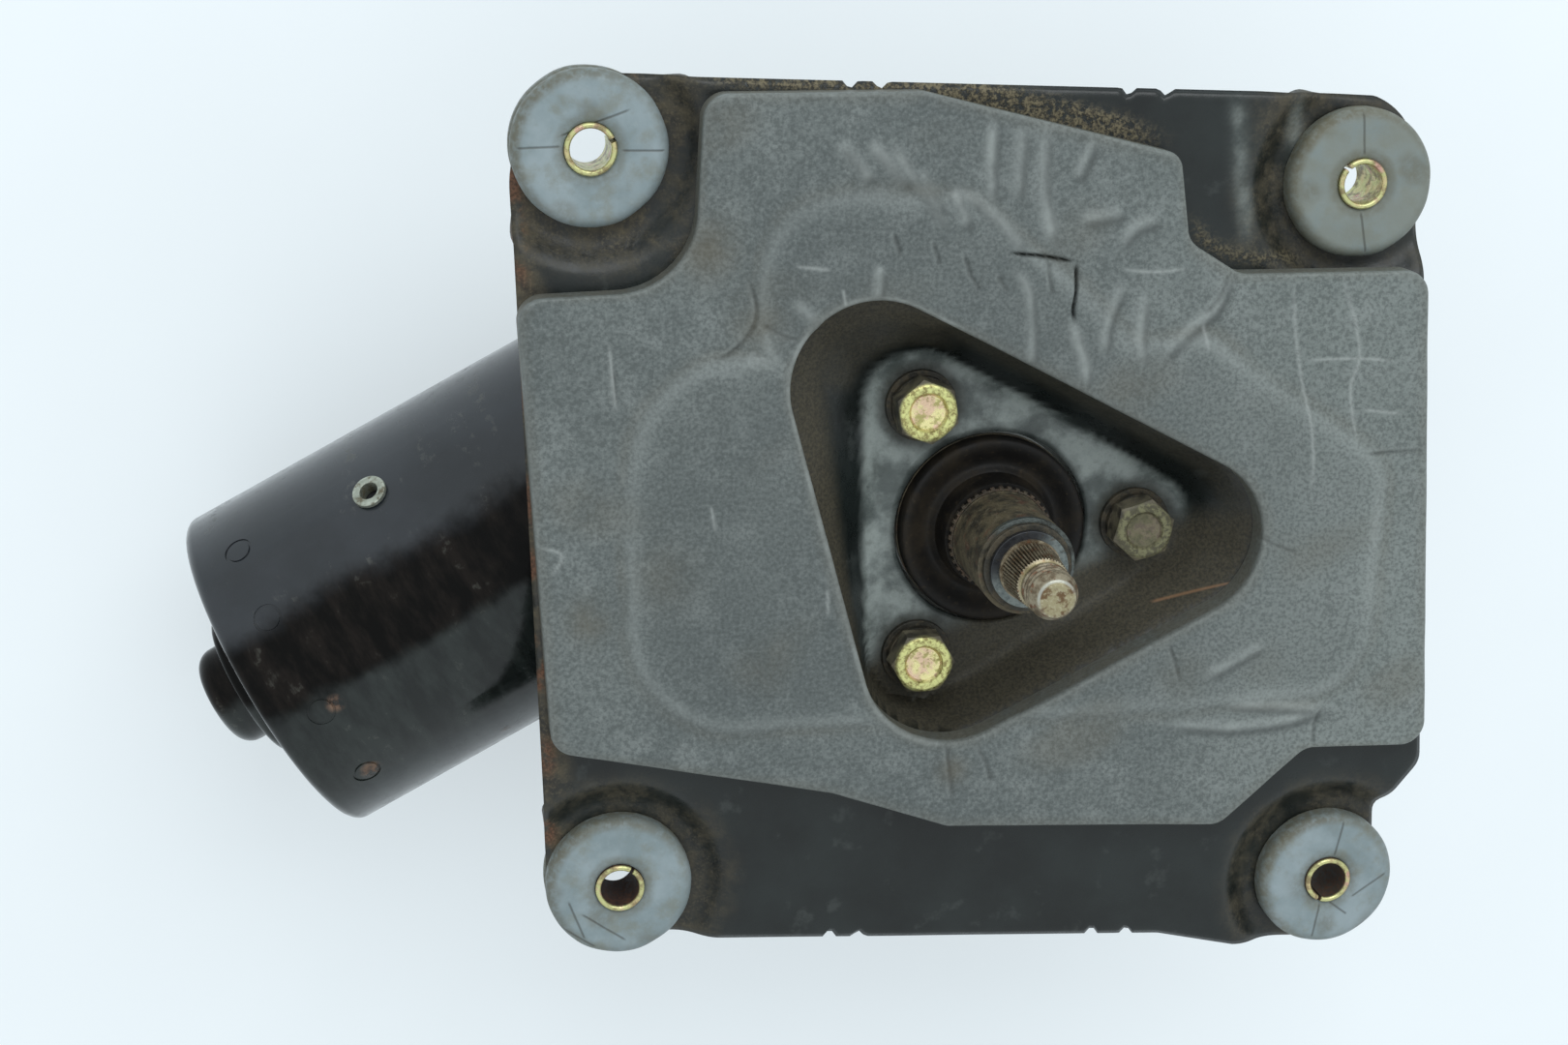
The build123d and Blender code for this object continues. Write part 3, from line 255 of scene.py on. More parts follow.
# ==== meshes =========================================================================
def surface(name, points, wrap_u=True, wrap_v=False, sharp=40.0, keep=None, marks=None):
    """Object made of a grid of points in millimetres: rows along v, columns along u.
    Coincident points are merged, normals face outwards, and edges over an angle are sharp."""
    rows, columns = points.shape[:2]
    index = np.arange(rows * columns).reshape(rows, columns)
    if wrap_u:
        index = np.concatenate([index, index[:, :1]], axis=1)
    if wrap_v:
        index = np.concatenate([index, index[:1]], axis=0)
    quads = np.stack([index[:-1, :-1], index[:-1, 1:], index[1:, 1:], index[1:, :-1]], axis=-1)
    if keep is not None:
        quads = quads[keep]
    quads = quads.reshape(-1, 4)
    mesh = bpy.data.meshes.new(name)
    mesh.vertices.add(rows * columns)
    mesh.vertices.foreach_set("co", (points * MM).astype(np.float32).ravel())
    mesh.loops.add(quads.size)
    mesh.loops.foreach_set("vertex_index", quads.astype(np.int32).ravel())
    mesh.polygons.add(len(quads))
    mesh.polygons.foreach_set("loop_start", np.arange(0, quads.size, 4, dtype=np.int32))
    mesh.update(calc_edges=True)
    for key, values in (marks or {}).items():
        layer = mesh.attributes.new(key, "FLOAT", "POINT")
        layer.data.foreach_set("value", values.astype(np.float32).ravel())
    return linked(name, welded(mesh, WELD), sharp)


def welded(mesh, reach, flat=None):
    """Merges a mesh's points within a reach, drops loose points, joins faces that meet
    at less than a flat angle, and turns every face outwards."""
    shape = bmesh.new()
    shape.from_mesh(mesh)
    bmesh.ops.remove_doubles(shape, verts=shape.verts, dist=reach)
    loose = [v for v in shape.verts if not v.link_faces]
    bmesh.ops.delete(shape, geom=loose, context="VERTS")
    if flat:
        bmesh.ops.dissolve_limit(
            shape, angle_limit=radians(flat), verts=shape.verts, edges=shape.edges, delimit=set()
        )
    bmesh.ops.recalc_face_normals(shape, faces=shape.faces)
    shape.to_mesh(mesh)
    shape.free()
    return mesh


def linked(name, mesh, sharp):
    """Object of a mesh in the scene, smooth but for its edges over an angle."""
    mesh.polygons.foreach_set("use_smooth", np.ones(len(mesh.polygons), dtype=bool))
    mesh.set_sharp_from_angle(angle=radians(sharp))
    obj = bpy.data.objects.new(name, mesh)
    bpy.context.scene.collection.objects.link(obj)
    return obj


def joined(name, objects, sharp=40.0):
    """One object from several meshes that sit at the origin."""
    shape = bmesh.new()
    for obj in objects:
        shape.from_mesh(obj.data)
        bpy.data.objects.remove(obj)
    mesh = bpy.data.meshes.new(name)
    shape.to_mesh(mesh)
    shape.free()
    return linked(name, mesh, sharp)


def lathe(name, profile, centre, columns=160, shape=None, marks=None):
    """Turned shape: a profile of (radius, height) points carried round an upright axis at
    centre; shape(radius, turn, height) may move the points, as whole arrays."""
    profile = np.array(profile, float)
    turn = np.linspace(0, 2 * np.pi, columns, endpoint=False)[None, :]
    radius = np.repeat(profile[:, :1], columns, axis=1)
    height = np.repeat(profile[:, 1:], columns, axis=1)
    turn = np.repeat(turn, len(profile), axis=0)
    if shape:
        radius, height = shape(radius, turn, height)
    values = marks(radius, turn, height) if marks else None
    return surface(name, around(centre, radius, turn, height), marks=values)


def around(centre, radius, turn, height):
    """Points at a radius, a turn and a height round an upright axis at centre."""
    return np.stack([centre[0] + radius * np.cos(turn), centre[1] + radius * np.sin(turn), height], axis=-1)


def arc(centre, radius, start, end, count=7):
    """Profile points on an arc, angles in degrees."""
    turn = np.radians(np.linspace(start, end, count))
    return [(centre[0] + radius * c, centre[1] + radius * s) for c, s in zip(np.cos(turn), np.sin(turn))]


def place(obj, material, body=FRAME_BODY, *replaced):
    """Gives a new piece its finish, its body and the CAD nodes that it stands for."""
    obj.data.materials.clear()
    obj.data.materials.append(material)
    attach(obj, body)
    if replaced:
        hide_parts(*replaced)


def merged_copy(node):
    """A copy of a CAD node with its triangles merged and smooth shading between its sharp
    edges."""
    mesh = welded(frame["nodes"][node].data.copy(), CAD_WELD, CAD_FLAT)
    if "custom_normal" in mesh.attributes:
        mesh.attributes.remove(mesh.attributes["custom_normal"])
    return linked(f"{node}_finished", mesh, CAD_SHARP)


def softened(node, material, body, width):
    """A merged copy of a CAD node with its sharp edges rounded, which stands for it."""
    obj = merged_copy(node)
    edge = obj.modifiers.new("edges", "BEVEL")
    edge.width = width * MM
    edge.segments = 2
    edge.limit_method = "ANGLE"
    edge.angle_limit = radians(CAD_SHARP)
    edge.use_clamp_overlap = True
    edge.harden_normals = True
    place(obj, material, body, node)


# ==== finishes =======================================================================
def linear(colour):
    """Linear colour from a six-figure sRGB code. Anything else stays as it is."""
    if not isinstance(colour, str):
        return colour
    parts = [int(colour[i:i + 2], 16) / 255 for i in (0, 2, 4)]
    return tuple(p / 12.92 if p <= 0.04045 else ((p + 0.055) / 1.055) ** 2.4 for p in parts) + (1.0,)


def add_node(tree, kind, links=(), **settings):
    """A new node in a tree, with its inputs linked to sockets or set to values."""
    node = tree.nodes.new(kind)
    for key, value in settings.items():
        setattr(node, key, value)
    for index, value in links:
        if isinstance(value, bpy.types.NodeSocket):
            tree.links.new(value, node.inputs[index])
        else:
            node.inputs[index].default_value = linear(value)
    return node


class Finish:
    """A material being built. Most methods add nodes and return the socket they end in,
    and base is the colour so far."""

    def __init__(self, name, colour, roughness, metallic=0.0, **sockets):
        self.material = bpy.data.materials.new(name)
        self.material.use_nodes = True
        self.tree = self.material.node_tree
        self.shader = self.tree.nodes["Principled BSDF"]
        self.place = self.tree.nodes.new("ShaderNodeTexCoord").outputs["Object"]
        self.base = self.material.diffuse_color = linear(colour)
        values = {"Base_Color": self.base, "Roughness": roughness, "Metallic": metallic, **sockets}
        for socket, value in values.items():
            self.shader.inputs[socket.replace("_", " ")].default_value = value

    def add(self, kind, links=(), **settings):
        return add_node(self.tree, kind, links, **settings)

    def noise_at(self, spot, detail, rough):
        """Noise of a feature size of one, 0..1, over a socket of places."""
        made = self.add(
            "ShaderNodeTexNoise", [(0, spot), ("Scale", 1.0), ("Detail", detail), ("Roughness", rough)]
        )
        return made.outputs["Fac"]

    def noise(self, size, detail=4.0, rough=0.6, shift=(0, 0, 0)):
        """Noise of a feature size in millimetres, 0..1."""
        scale = [1 / (size * MM)] * 3
        spot = self.add("ShaderNodeMapping", [(0, self.place), (1, shift), (3, scale)]).outputs[0]
        return self.noise_at(spot, detail, rough)

    def spread(self, value, low, high, to_low=0.0, to_high=1.0):
        """value mapped so that low becomes to_low and high becomes to_high, smoothly."""
        made = self.add(
            "ShaderNodeMapRange",
            [(0, value), (1, low), (2, high), (3, to_low), (4, to_high)],
            interpolation_type="SMOOTHSTEP",
        )
        return made.outputs[0]

    def math(self, kind, a, b=0.0):
        return self.add("ShaderNodeMath", [(0, a), (1, b)], operation=kind).outputs[0]

    def plus(self, a, b):
        return self.math("ADD", a, b)

    def less(self, a, b):
        return self.math("SUBTRACT", a, b)

    def times(self, a, b):
        return self.math("MULTIPLY", a, b)

    def most(self, first, *others):
        """The largest of some values."""
        for value in others:
            first = self.math("MAXIMUM", first, value)
        return first

    def mix(self, share, a, b):
        """Colour a turned towards colour b by a share."""
        return self.add("ShaderNodeMix", [(0, share), (6, a), (7, b)], data_type="RGBA").outputs[2]

    def blend(self, value, low, high, a, b):
        """Colour a where value is low, turning into colour b where it is high."""
        return self.mix(self.spread(value, low, high), a, b)

    def over(self, colour, share, amount=None):
        """Lays a colour over the colour so far, by a share and an amount of it."""
        if amount is not None:
            share = self.times(share, amount)
        self.base = self.mix(share, self.base, colour)

    def mark(self, name):
        """A value stored on the mesh's points."""
        return self.add("ShaderNodeAttribute", attribute_name=name).outputs["Fac"]

    def near(self, spot, inner, outer):
        """1 within inner and 0 beyond outer millimetres of a spot."""
        made = self.add(
            "ShaderNodeVectorMath", [(0, self.place), (1, [c * MM for c in spot])], operation="DISTANCE"
        )
        return self.spread(made.outputs["Value"], inner * MM, outer * MM, 1.0, 0.0)

    def height(self, low, high, to_low=0.0, to_high=1.0):
        """A value that changes between two heights in millimetres."""
        z = self.add("ShaderNodeSeparateXYZ", [(0, self.place)]).outputs[2]
        return self.spread(z, low * MM, high * MM, to_low, to_high)

    def along(self, direction):
        """How far a point lies along a level direction, in metres."""
        heading = (direction[0], direction[1], 0.0)
        made = self.add("ShaderNodeVectorMath", [(0, self.place), (1, heading)], operation="DOT_PRODUCT")
        return made.outputs["Value"]

    def line(self, start, end, width):
        """Thin line between two spots seen from above: 1 on it, 0 a width away."""
        ux, uy = end[0] - start[0], end[1] - start[1]
        length = (ux**2 + uy**2) ** 0.5
        ux, uy = ux / length, uy / length
        off = self.less(self.along((-uy, ux)), (start[1] * ux - start[0] * uy) * MM)
        run = self.less(self.along((ux, uy)), (start[0] * ux + start[1] * uy) * MM)
        middle = self.math("ABSOLUTE", self.less(run, length / 2 * MM))
        ends = self.spread(middle, length * 0.4 * MM, length / 2 * MM, 1.0, 0.0)
        return self.times(self.spread(self.math("ABSOLUTE", off), 0.0, width * MM, 1.0, 0.0), ends)

    def link(self, **sockets):
        """Links values to the shader's sockets."""
        for socket, value in sockets.items():
            self.tree.links.new(value, self.shader.inputs[socket.replace("_", " ")])

    def finished(self, roughness, height, depth, strength=1.0, **sockets):
        """The material, with its colour so far, a roughness, bumps of a depth in
        millimetres from a 0..1 height, and what other sockets it needs."""
        bump = self.add(
            "ShaderNodeBump", [("Strength", strength), ("Distance", depth * MM), ("Height", height)]
        )
        self.link(Base_Color=self.base, Roughness=roughness, Normal=bump.outputs[0], **sockets)
        return self.material


def painted_steel():
    """Black paint on pressed steel: brown dust and grease in the hollows, a painted grey
    reflection of the sky on the well's floor and beside the pad, dried adhesive above the
    pad and rust along the left edge."""
    f = Finish("plate_paint", "141817", 0.4, IOR=1.4, Coat_Weight=0.08, Coat_Roughness=0.2)
    cloud, patch = f.noise(22, 5), f.noise(7, 5, shift=(3, 1, 0))
    fine, speck = f.noise(2.4, 5, 0.65), f.noise(0.5, 3)
    grime = f.times(f.mark("grime"), f.spread(patch, 0.34, 0.6, 0.15, 1.0))
    rust = f.times(f.mark("rust"), f.spread(patch, 0.48, 0.58))
    dust = f.times(f.mark("dust"), f.spread(cloud, 0.2, 0.6, 0.7, 1.0))
    sheen = f.times(f.mark("sheen"), f.spread(patch, 0.32, 0.6, 0.55, 1.0))
    glue = f.times(f.mark("glue"), f.spread(f.noise(1.2, 5, 0.7, shift=(6, 2, 0)), 0.4, 0.54))
    f.base = f.blend(cloud, 0.3, 0.7, "0e1211", "1d2322")
    f.over("474c4a", f.spread(patch, 0.6, 0.72, 0.0, 0.35))
    earth = f.blend(fine, 0.32, 0.66, "2b2821", "585140")
    f.over(f.mix(f.spread(speck, 0.5, 0.66, 0.0, 0.5), earth, "6f6650"), grime, 0.85)
    f.over(f.blend(speck, 0.36, 0.6, "302c22", "6f6750"), glue)
    f.over(f.blend(speck, 0.3, 0.7, "333027", "4d4839"), dust, 0.88)
    # Painted reflection: the sky mirrored grey on the well's floor and in streaks beside the pad.
    grey = f.blend(patch, 0.36, 0.62, "6d7673", "929b97")
    f.over(f.mix(f.spread(fine, 0.52, 0.7, 0.0, 0.4), grey, "4c514c"), sheen, 0.92)
    f.over(f.blend(speck, 0.35, 0.65, "45301f", "6b4a36"), rust)
    f.over("86664a", f.line(*PAINT_SCRATCH, 0.3), 0.7)
    dull = f.most(grime, rust, dust, glue)
    rough = f.plus(f.spread(fine, 0.3, 0.75, 0.22, 0.4), f.times(dull, 0.4))
    lumps = f.times(f.noise(1.1), f.plus(f.times(dull, 0.8), 0.08))
    return f.finished(rough, f.plus(f.times(fine, 0.25), lumps), 0.22)


def pad_foam():
    """Grey closed-cell foam, painted lighter towards its right side where light falls: fine
    cells, folds with a painted highlight on their crests and painted shade at their foot,
    painted shade in creases and tears, thin scratches and brown dust."""
    f = Finish("pad_foam", "656c6a", 0.62, IOR=1.4)
    cloud, mottle, cell = f.noise(34), f.noise(6, 5, 0.65), f.noise(0.6, 2)
    # Painted light: the foam is drawn lighter towards its right side, where the light falls.
    side = f.spread(f.along((0.97, 0.24)), 8 * MM, 66 * MM)
    left = f.blend(cloud, 0.3, 0.72, "5b6261", "6a716f")
    f.base = f.mix(side, left, f.blend(cloud, 0.3, 0.72, "6f7774", "7e8683"))
    f.over("828987", f.spread(mottle, 0.45, 0.72, 0.0, 0.5))
    f.over("3a403f", f.spread(cell, 0.42, 0.66, 0.0, 0.46))
    f.over("99a19e", f.spread(cell, 0.3, 0.44, 0.16, 0.0))
    f.over("424746", f.mark("shade"), 0.72)
    # Painted highlight on the wrinkles' crests, the relief's edge, one lip of each crease and the pad's rims.
    f.over("99a09d", f.mark("fold"), f.spread(mottle, 0.34, 0.64, 0.72, 0.32))
    # Painted shade in the creases and tears.
    f.over("1f2120", f.mark("tear"))
    f.over("57503f", f.times(f.mark("dirt"), f.spread(mottle, 0.25, 0.6, 0.35, 1.0)), 0.7)
    f.over("b0b6b3", f.mark("scratch"), 0.38)
    height = f.plus(f.times(cell, 0.5), f.times(mottle, 0.8))
    return f.finished(f.spread(mottle, 0.3, 0.7, 0.48, 0.7), height, 0.12, 0.8)


def grommet_rubber():
    """Blue-grey rubber, greener where dirty, with an earthy film on the rounded edge and
    thin cracks that run from the bore."""
    f = Finish("grommet_rubber", "7b888c", 0.55, IOR=1.42)
    cloud, fine = f.noise(9), f.noise(1.2, 5, 0.65)
    f.base = f.blend(cloud, 0.32, 0.7, "7a898c", "8f9da1")
    f.over("757768", f.spread(f.noise(5, 5, 0.65, shift=(2, 3, 1)), 0.46, 0.7), 0.55)
    f.over("9aa6a8", f.spread(fine, 0.52, 0.75, 0.0, 0.25))
    muddy = f.near((*CORNERS["tr"], -4.0), 14.0, 18.0)
    f.over("757a70", muddy, f.spread(cloud, 0.3, 0.6, 0.35, 0.8))
    f.over("59543f", f.times(f.mark("grime"), f.spread(fine, 0.3, 0.62, 0.45, 1.0)), 0.9)
    cracks = f.most(*(f.line(start, end, 0.3) for start, end in GROMMET_CRACKS))
    f.over("3c3a30", cracks, 0.62)
    return f.finished(f.spread(fine, 0.3, 0.7, 0.45, 0.65), f.less(f.times(fine, 0.5), cracks), 0.12)


def dull_metal(name, light, dark, stain, roughness, metallic, size, stained, depth=0.06):
    """Metal with a clouded colour and brown stains: size is that of its clouds in
    millimetres, and stained how much of it is brown."""
    f = Finish(name, light, roughness, metallic)
    fine, blot = f.noise(size / 5), f.noise(size * 1.3, 5, 0.7, shift=(3, 1, 2))
    patch = f.spread(blot, 0.62 - stained * 0.3, 0.72 - stained * 0.2)
    f.base = f.blend(f.noise(size, 5), 0.3, 0.7, light, dark)
    f.over(stain, patch)
    rough = f.plus(f.spread(fine, 0.3, 0.7, roughness - 0.1, roughness + 0.1), f.times(patch, 0.25))
    metal = f.spread(patch, 0.0, 1.0, metallic, metallic * 0.25)
    return f.finished(rough, f.plus(fine, f.times(patch, 0.6)), depth, Metallic=metal)


def yellow_zinc():
    """Yellow passivated zinc: pale gold with green and pink drifts, and rusty bores in the
    two lower sleeves."""
    f = Finish("yellow_zinc", "cdbb8c", 0.32, 0.85)
    drift, fine = f.noise(3.0, 3, 0.5), f.noise(0.7)
    stain = f.spread(f.noise(2.2, 5, 0.7, shift=(5, 2, 1)), 0.46, 0.62)
    f.base = f.blend(drift, 0.35, 0.5, "cdbb8c", "c6c58c")
    f.over("cfa294", f.spread(drift, 0.55, 0.7))
    f.over("766245", stain, 0.8)
    below = f.height(-0.6, -0.2, 1.0, 0.0)
    rusty = 0.0
    for corner, tone in (("bl", "27130b"), ("br", "3a3228")):
        bore = f.times(f.near((*CORNERS[corner], -5.0), 7.0, 8.0), below)
        f.over(f.blend(fine, 0.4, 0.7, tone, "5a3b28"), bore)
        rusty = f.most(bore, rusty)
    metal = f.times(f.spread(rusty, 0.0, 1.0, 1.0, 0.1), f.spread(stain, 0.0, 1.0, 0.85, 0.35))
    rough = f.plus(f.spread(fine, 0.3, 0.7, 0.25, 0.46), f.times(rusty, 0.4))
    return f.finished(rough, fine, 0.05, Metallic=metal)


def bolt_zinc():
    """Bolt heads: bright green-gold on the crown and in the dish, brown on the flats and at the
    foot, grease together with painted shade on the sides, and the third head dull all over."""
    f = Finish("bolt_zinc", "d3c492", 0.3, 0.6)
    drift, fine = f.noise(2.6, 3, 0.5), f.noise(0.7)
    heads = [(bx, by, HEAD_TOP) for bx, by in BOLTS]
    crown = f.most(*(f.near(head, 4.45, 5.1) for head in heads))
    dish = f.most(*(f.near(head, 2.9, 3.3) for head in heads))
    third = f.near(heads[2], 6.0, 9.0)
    gold = f.blend(drift, 0.42, 0.56, "efe4a6", "e6c6a8")
    gold = f.mix(f.spread(f.noise(1.5, shift=(1, 1, 0)), 0.48, 0.6, 0.0, 0.8), gold, "a3a05c")
    gold = f.mix(f.spread(fine, 0.56, 0.66, 0.0, 0.6), gold, "8f7d4c")
    bright = f.mix(dish, f.blend(fine, 0.35, 0.62, "968b58", "dede96"), gold)
    greasy = f.blend(fine, 0.42, 0.58, "39372c", "605e49")
    greasy = f.mix(f.times(dish, f.spread(drift, 0.4, 0.56, 0.75, 0.2)), greasy, "2f2e25")
    # Flats and foot: brown grease together with painted shade on the head's sides.
    f.base = f.blend(drift, 0.35, 0.62, "38342a", "6b6552")
    f.over(f.mix(f.times(third, 0.9), bright, greasy), crown)
    clean = f.times(crown, f.spread(third, 0.0, 1.0, 1.0, 0.25))
    rough = f.plus(f.spread(fine, 0.3, 0.7, 0.22, 0.42), f.spread(clean, 0.0, 1.0, 0.25, 0.0))
    return f.finished(rough, fine, 0.09, Metallic=f.times(clean, 0.7))


def shaft_steel():
    """Output shaft: stained brown steel, a painted highlight on one side of the nose's rim,
    and painted shade, black, in the grooves.
    """
    f = Finish("shaft_steel", "8b7f68", 0.38, 0.6)
    drift, fine, groove = f.noise(1.9, 5, 0.65), f.noise(0.5), f.mark("groove")
    f.base = f.blend(drift, 0.36, 0.6, "6f604b", "a59a83")
    f.over("7c5238", f.spread(f.noise(1.3, shift=(2, 7, 1)), 0.54, 0.66, 0.0, 0.8))
    face = f.blend(drift, 0.42, 0.56, "6a5339", "9c9373")
    face = f.mix(f.spread(fine, 0.52, 0.66, 0.0, 0.55), face, "bab499")
    # Painted highlight on the side of the nose's rim that faces the light.
    rim = f.less(1.0, f.near((0.0, 0.0, SHAFT_TIP), 2.55, 2.75))
    lit = f.spread(f.along((-0.45, 0.89)), -0.8 * MM, 1.6 * MM, 0.1, 0.7)
    f.over(f.mix(f.times(rim, lit), face, "b4b6ae"), f.height(29.3, 29.5))
    f.over("928a58", f.times(f.height(22.0, 22.4), f.height(22.9, 23.5, 1.0, 0.0)), 0.4)
    # Painted shade: black in the spline's and thread's grooves.
    f.over("1c1711", groove)
    bumps = f.plus(fine, f.times(drift, 0.8))
    metal = f.spread(groove, 0.0, 1.0, 0.62, 0.1)
    return f.finished(f.spread(fine, 0.3, 0.7, 0.26, 0.5), bumps, 0.08, Metallic=metal)


def cast_alloy():
    """Cast alloy, caked brown on the output boss with a painted bluish-grey highlight on the
    upper-right side of the rim at its top, grey with casting skin below."""
    f = Finish("cast_alloy", "8a8b88", 0.5, 0.75)
    grain, cake = f.noise(0.9), f.noise(3.4, 5, 0.65)
    grime = f.spread(f.noise(9, 5, 0.7), 0.45, 0.7)
    boss = f.height(-14, -12)
    # Painted highlight: bluish-grey on the upper-right side of the boss's top rim.
    rim = f.times(f.height(10.9, 11.3), f.spread(f.along((0.62, 0.78)), -3 * MM, 3 * MM))
    dirt = f.blend(cake, 0.36, 0.62, "2e2a20", "5a523e")
    dirt = f.mix(f.spread(f.noise(2.6, shift=(4, 1, 6)), 0.54, 0.68, 0.0, 0.6), dirt, "5f4030")
    dirt = f.mix(f.spread(grain, 0.55, 0.7, 0.0, 0.35), dirt, "7d7560")
    f.base = f.blend(f.noise(12, 5), 0.3, 0.7, "868783", "a1a3a0")
    f.over("4f493d", grime, 0.6)
    f.over(f.mix(rim, dirt, f.blend(cake, 0.4, 0.62, "5f6562", "2f2d28")), boss)
    shine = f.most(f.spread(boss, 0.0, 1.0, 0.75, 0.08), f.times(rim, 0.7))
    metal = f.times(shine, f.spread(grime, 0.0, 1.0, 1.0, 0.6))
    rough = f.plus(f.spread(grain, 0.3, 0.7, 0.36, 0.52), f.times(boss, 0.25))
    rough = f.less(rough, f.times(rim, 0.28))
    return f.finished(rough, f.plus(grain, f.times(cake, boss)), 0.2, Metallic=metal)


def blued_ring():
    """Blued spring steel, with painted shadow making it near black towards its far left, and pale grey elsewhere.
    """
    f = Finish("blued_ring", "5f6664", 0.32, 0.6)
    fine = f.noise(0.8)
    f.base = f.blend(fine, 0.35, 0.65, "5a6261", "7b827f")
    # Painted shadow: near black towards the ring's far left.
    f.over("25242a", f.spread(f.along((-0.64, 0.77)), 0.5 * MM, 4.2 * MM), 0.9)
    f.over("453c2e", f.spread(f.noise(1.8), 0.56, 0.68, 0.0, 0.7))
    return f.finished(f.spread(fine, 0.3, 0.7, 0.26, 0.44), fine, 0.04)


def motor_paint():
    """Gloss black paint on the motor's can: a painted slate reflection of the sky along its upper
    side, a darker scuffed band along its crest and a dull greenish lower side, with rust spots."""
    f = Finish("motor_paint", "15181a", 0.24, IOR=1.42, Coat_Roughness=0.12)
    cloud, fine = f.noise(18, 5), f.noise(2.0, 5, 0.65)
    run, side = f.along(MOTOR_RUN), f.along(MOTOR_SIDE)
    crest = f.plus(side, f.times(cloud, 9 * MM))
    # Painted reflection: the slate band along the can's upper side is sky mirrored in the gloss.
    upper = f.spread(crest, 48 * MM, 53 * MM)
    lower = f.spread(crest, 34 * MM, 37.5 * MM, 1.0, 0.0)
    spot = [(0, f.times(run, 1 / (4.5 * MM))), (1, f.times(side, 1 / (13 * MM))), (2, 0.0)]
    streaks = f.noise_at(f.add("ShaderNodeCombineXYZ", spot).outputs[0], 5.0, 0.65)
    f.base = f.blend(streaks, 0.4, 0.66, "080706", "1c1815")
    f.over(f.blend(cloud, 0.3, 0.7, "1a1e22", "262a2f"), upper)
    f.over(f.blend(streaks, 0.36, 0.64, "0f1413", "232927"), lower)
    scuff = f.times(f.spread(streaks, 0.56, 0.68), f.spread(fine, 0.5, 0.64))
    f.over("5a5b55", scuff, 0.45)
    rust = f.most(*(
        f.times(f.near(spot, inner, outer), f.spread(fine, low, 0.5))
        for spot, inner, outer, low in RUST_SPOTS
    ))
    f.over(f.blend(fine, 0.35, 0.65, "35231a", "77604e"), rust)
    shine = f.most(upper, f.times(lower, 0.6))
    rough = f.plus(f.spread(fine, 0.35, 0.75, 0.14, 0.3), f.times(rust, 0.45))
    rough = f.plus(rough, f.times(scuff, 0.3))
    height = f.plus(f.times(cloud, 0.5), f.plus(f.times(fine, 0.12), rust))
    gloss = {"Coat_Weight": f.times(shine, 0.3), "Specular_IOR_Level": f.spread(shine, 0.0, 1.0, 0.12, 0.5)}
    return f.finished(rough, height, 0.15, **gloss)


def black_rubber():
    """Dark rubber with a thin brown film of dust."""
    f = Finish("black_rubber", "120f0c", 0.6, IOR=1.32)
    cloud, fine = f.noise(7, 5, 0.65), f.noise(0.9)
    f.base = f.blend(cloud, 0.4, 0.7, "100e0c", "272118")
    f.over("463d2d", f.spread(fine, 0.58, 0.75, 0.0, 0.4))
    return f.finished(f.spread(cloud, 0.3, 0.7, 0.52, 0.74), fine, 0.07)


def moulded(name, light, dark, roughness, grain=0.5):
    """Moulded plastic with a fine grain of a size in millimetres."""
    f = Finish(name, light, roughness, IOR=1.48)
    fine = f.noise(grain, 3)
    f.base = f.blend(f.noise(14), 0.3, 0.7, light, dark)
    return f.finished(f.spread(fine, 0.3, 0.7, roughness - 0.08, roughness + 0.1), fine, 0.03)


# What makes each finish: the material slots of the record, and five of this file's own.
MAKERS = {
    "painted_plate": painted_steel,
    "foam": pad_foam,
    "grommet_rubber": grommet_rubber,
    "zinc": yellow_zinc,
    "bolt_zinc": bolt_zinc,
    "shaft_steel": shaft_steel,
    "casting": cast_alloy,
    "black_rubber": black_rubber,
    "yoke_paint": motor_paint,
    "blued_steel": blued_ring,
}
METALS = {
    "dark_steel": ("greasy_steel", "3a3831", "29261f", "4a4334", 0.5, 0.4, 2.4, 0.6),
    "plain_zinc": ("plain_zinc", "b3b8ab", "8b9083", "5f5a48", 0.4, 0.7, 1.4, 0.45),
    "ring_steel": ("caked_steel", "4d4637", "37312a", "57483a", 0.6, 0.2, 1.2, 0.6, 0.12),
    "bronze": ("bush_bronze", "9a7440", "7d5b31", "4a3a24", 0.42, 0.85, 3.0, 0.35),
    "steel": ("bright_steel", "9b9993", "84827c", "5f5142", 0.3, 0.95, 5.0, 0.3),
    "dirty_steel": ("stained_steel", "8a7d66", "6d604a", "4b3b28", 0.42, 0.8, 2.4, 0.7, 0.1),
    "copper": ("copper", "b87450", "9a5f40", "5a3a2a", 0.32, 0.95, 3.0, 0.35),
}
PLASTICS = {
    "black_plastic": ("black_plastic", "17181a", "212326", 0.42),
    "wheel_plastic": ("wheel_plastic", "d6d0bd", "c7bfa8", 0.4, 0.4),
    "laminate": ("brush_laminate", "7a5534", "65452a", 0.5, 0.3),
    "ferrite": ("ferrite", "1d1e20", "292a2d", 0.6, 0.3),
    "carbon": ("brush_carbon", "1b1b1c", "262627", 0.55, 0.25),
    "gasket": ("cover_gasket", "2a2722", "1f1d1a", 0.65, 0.4),
}
MAKERS.update({name: partial(dull_metal, *values) for name, values in METALS.items()})
MAKERS.update({name: partial(moulded, *values) for name, values in PLASTICS.items()})
FINISHES = {}


def finish(name):
    """The finish of a name, made once."""
    if name not in FINISHES:
        FINISHES[name] = MAKERS[name]()
    return FINISHES[name]


# ==== the object's surfaces ==========================================================
MOTOR_ANGLE = radians(31.5)
MOTOR_RUN = (-cos(MOTOR_ANGLE), -sin(MOTOR_ANGLE))
MOTOR_SIDE = (-sin(MOTOR_ANGLE), cos(MOTOR_ANGLE))
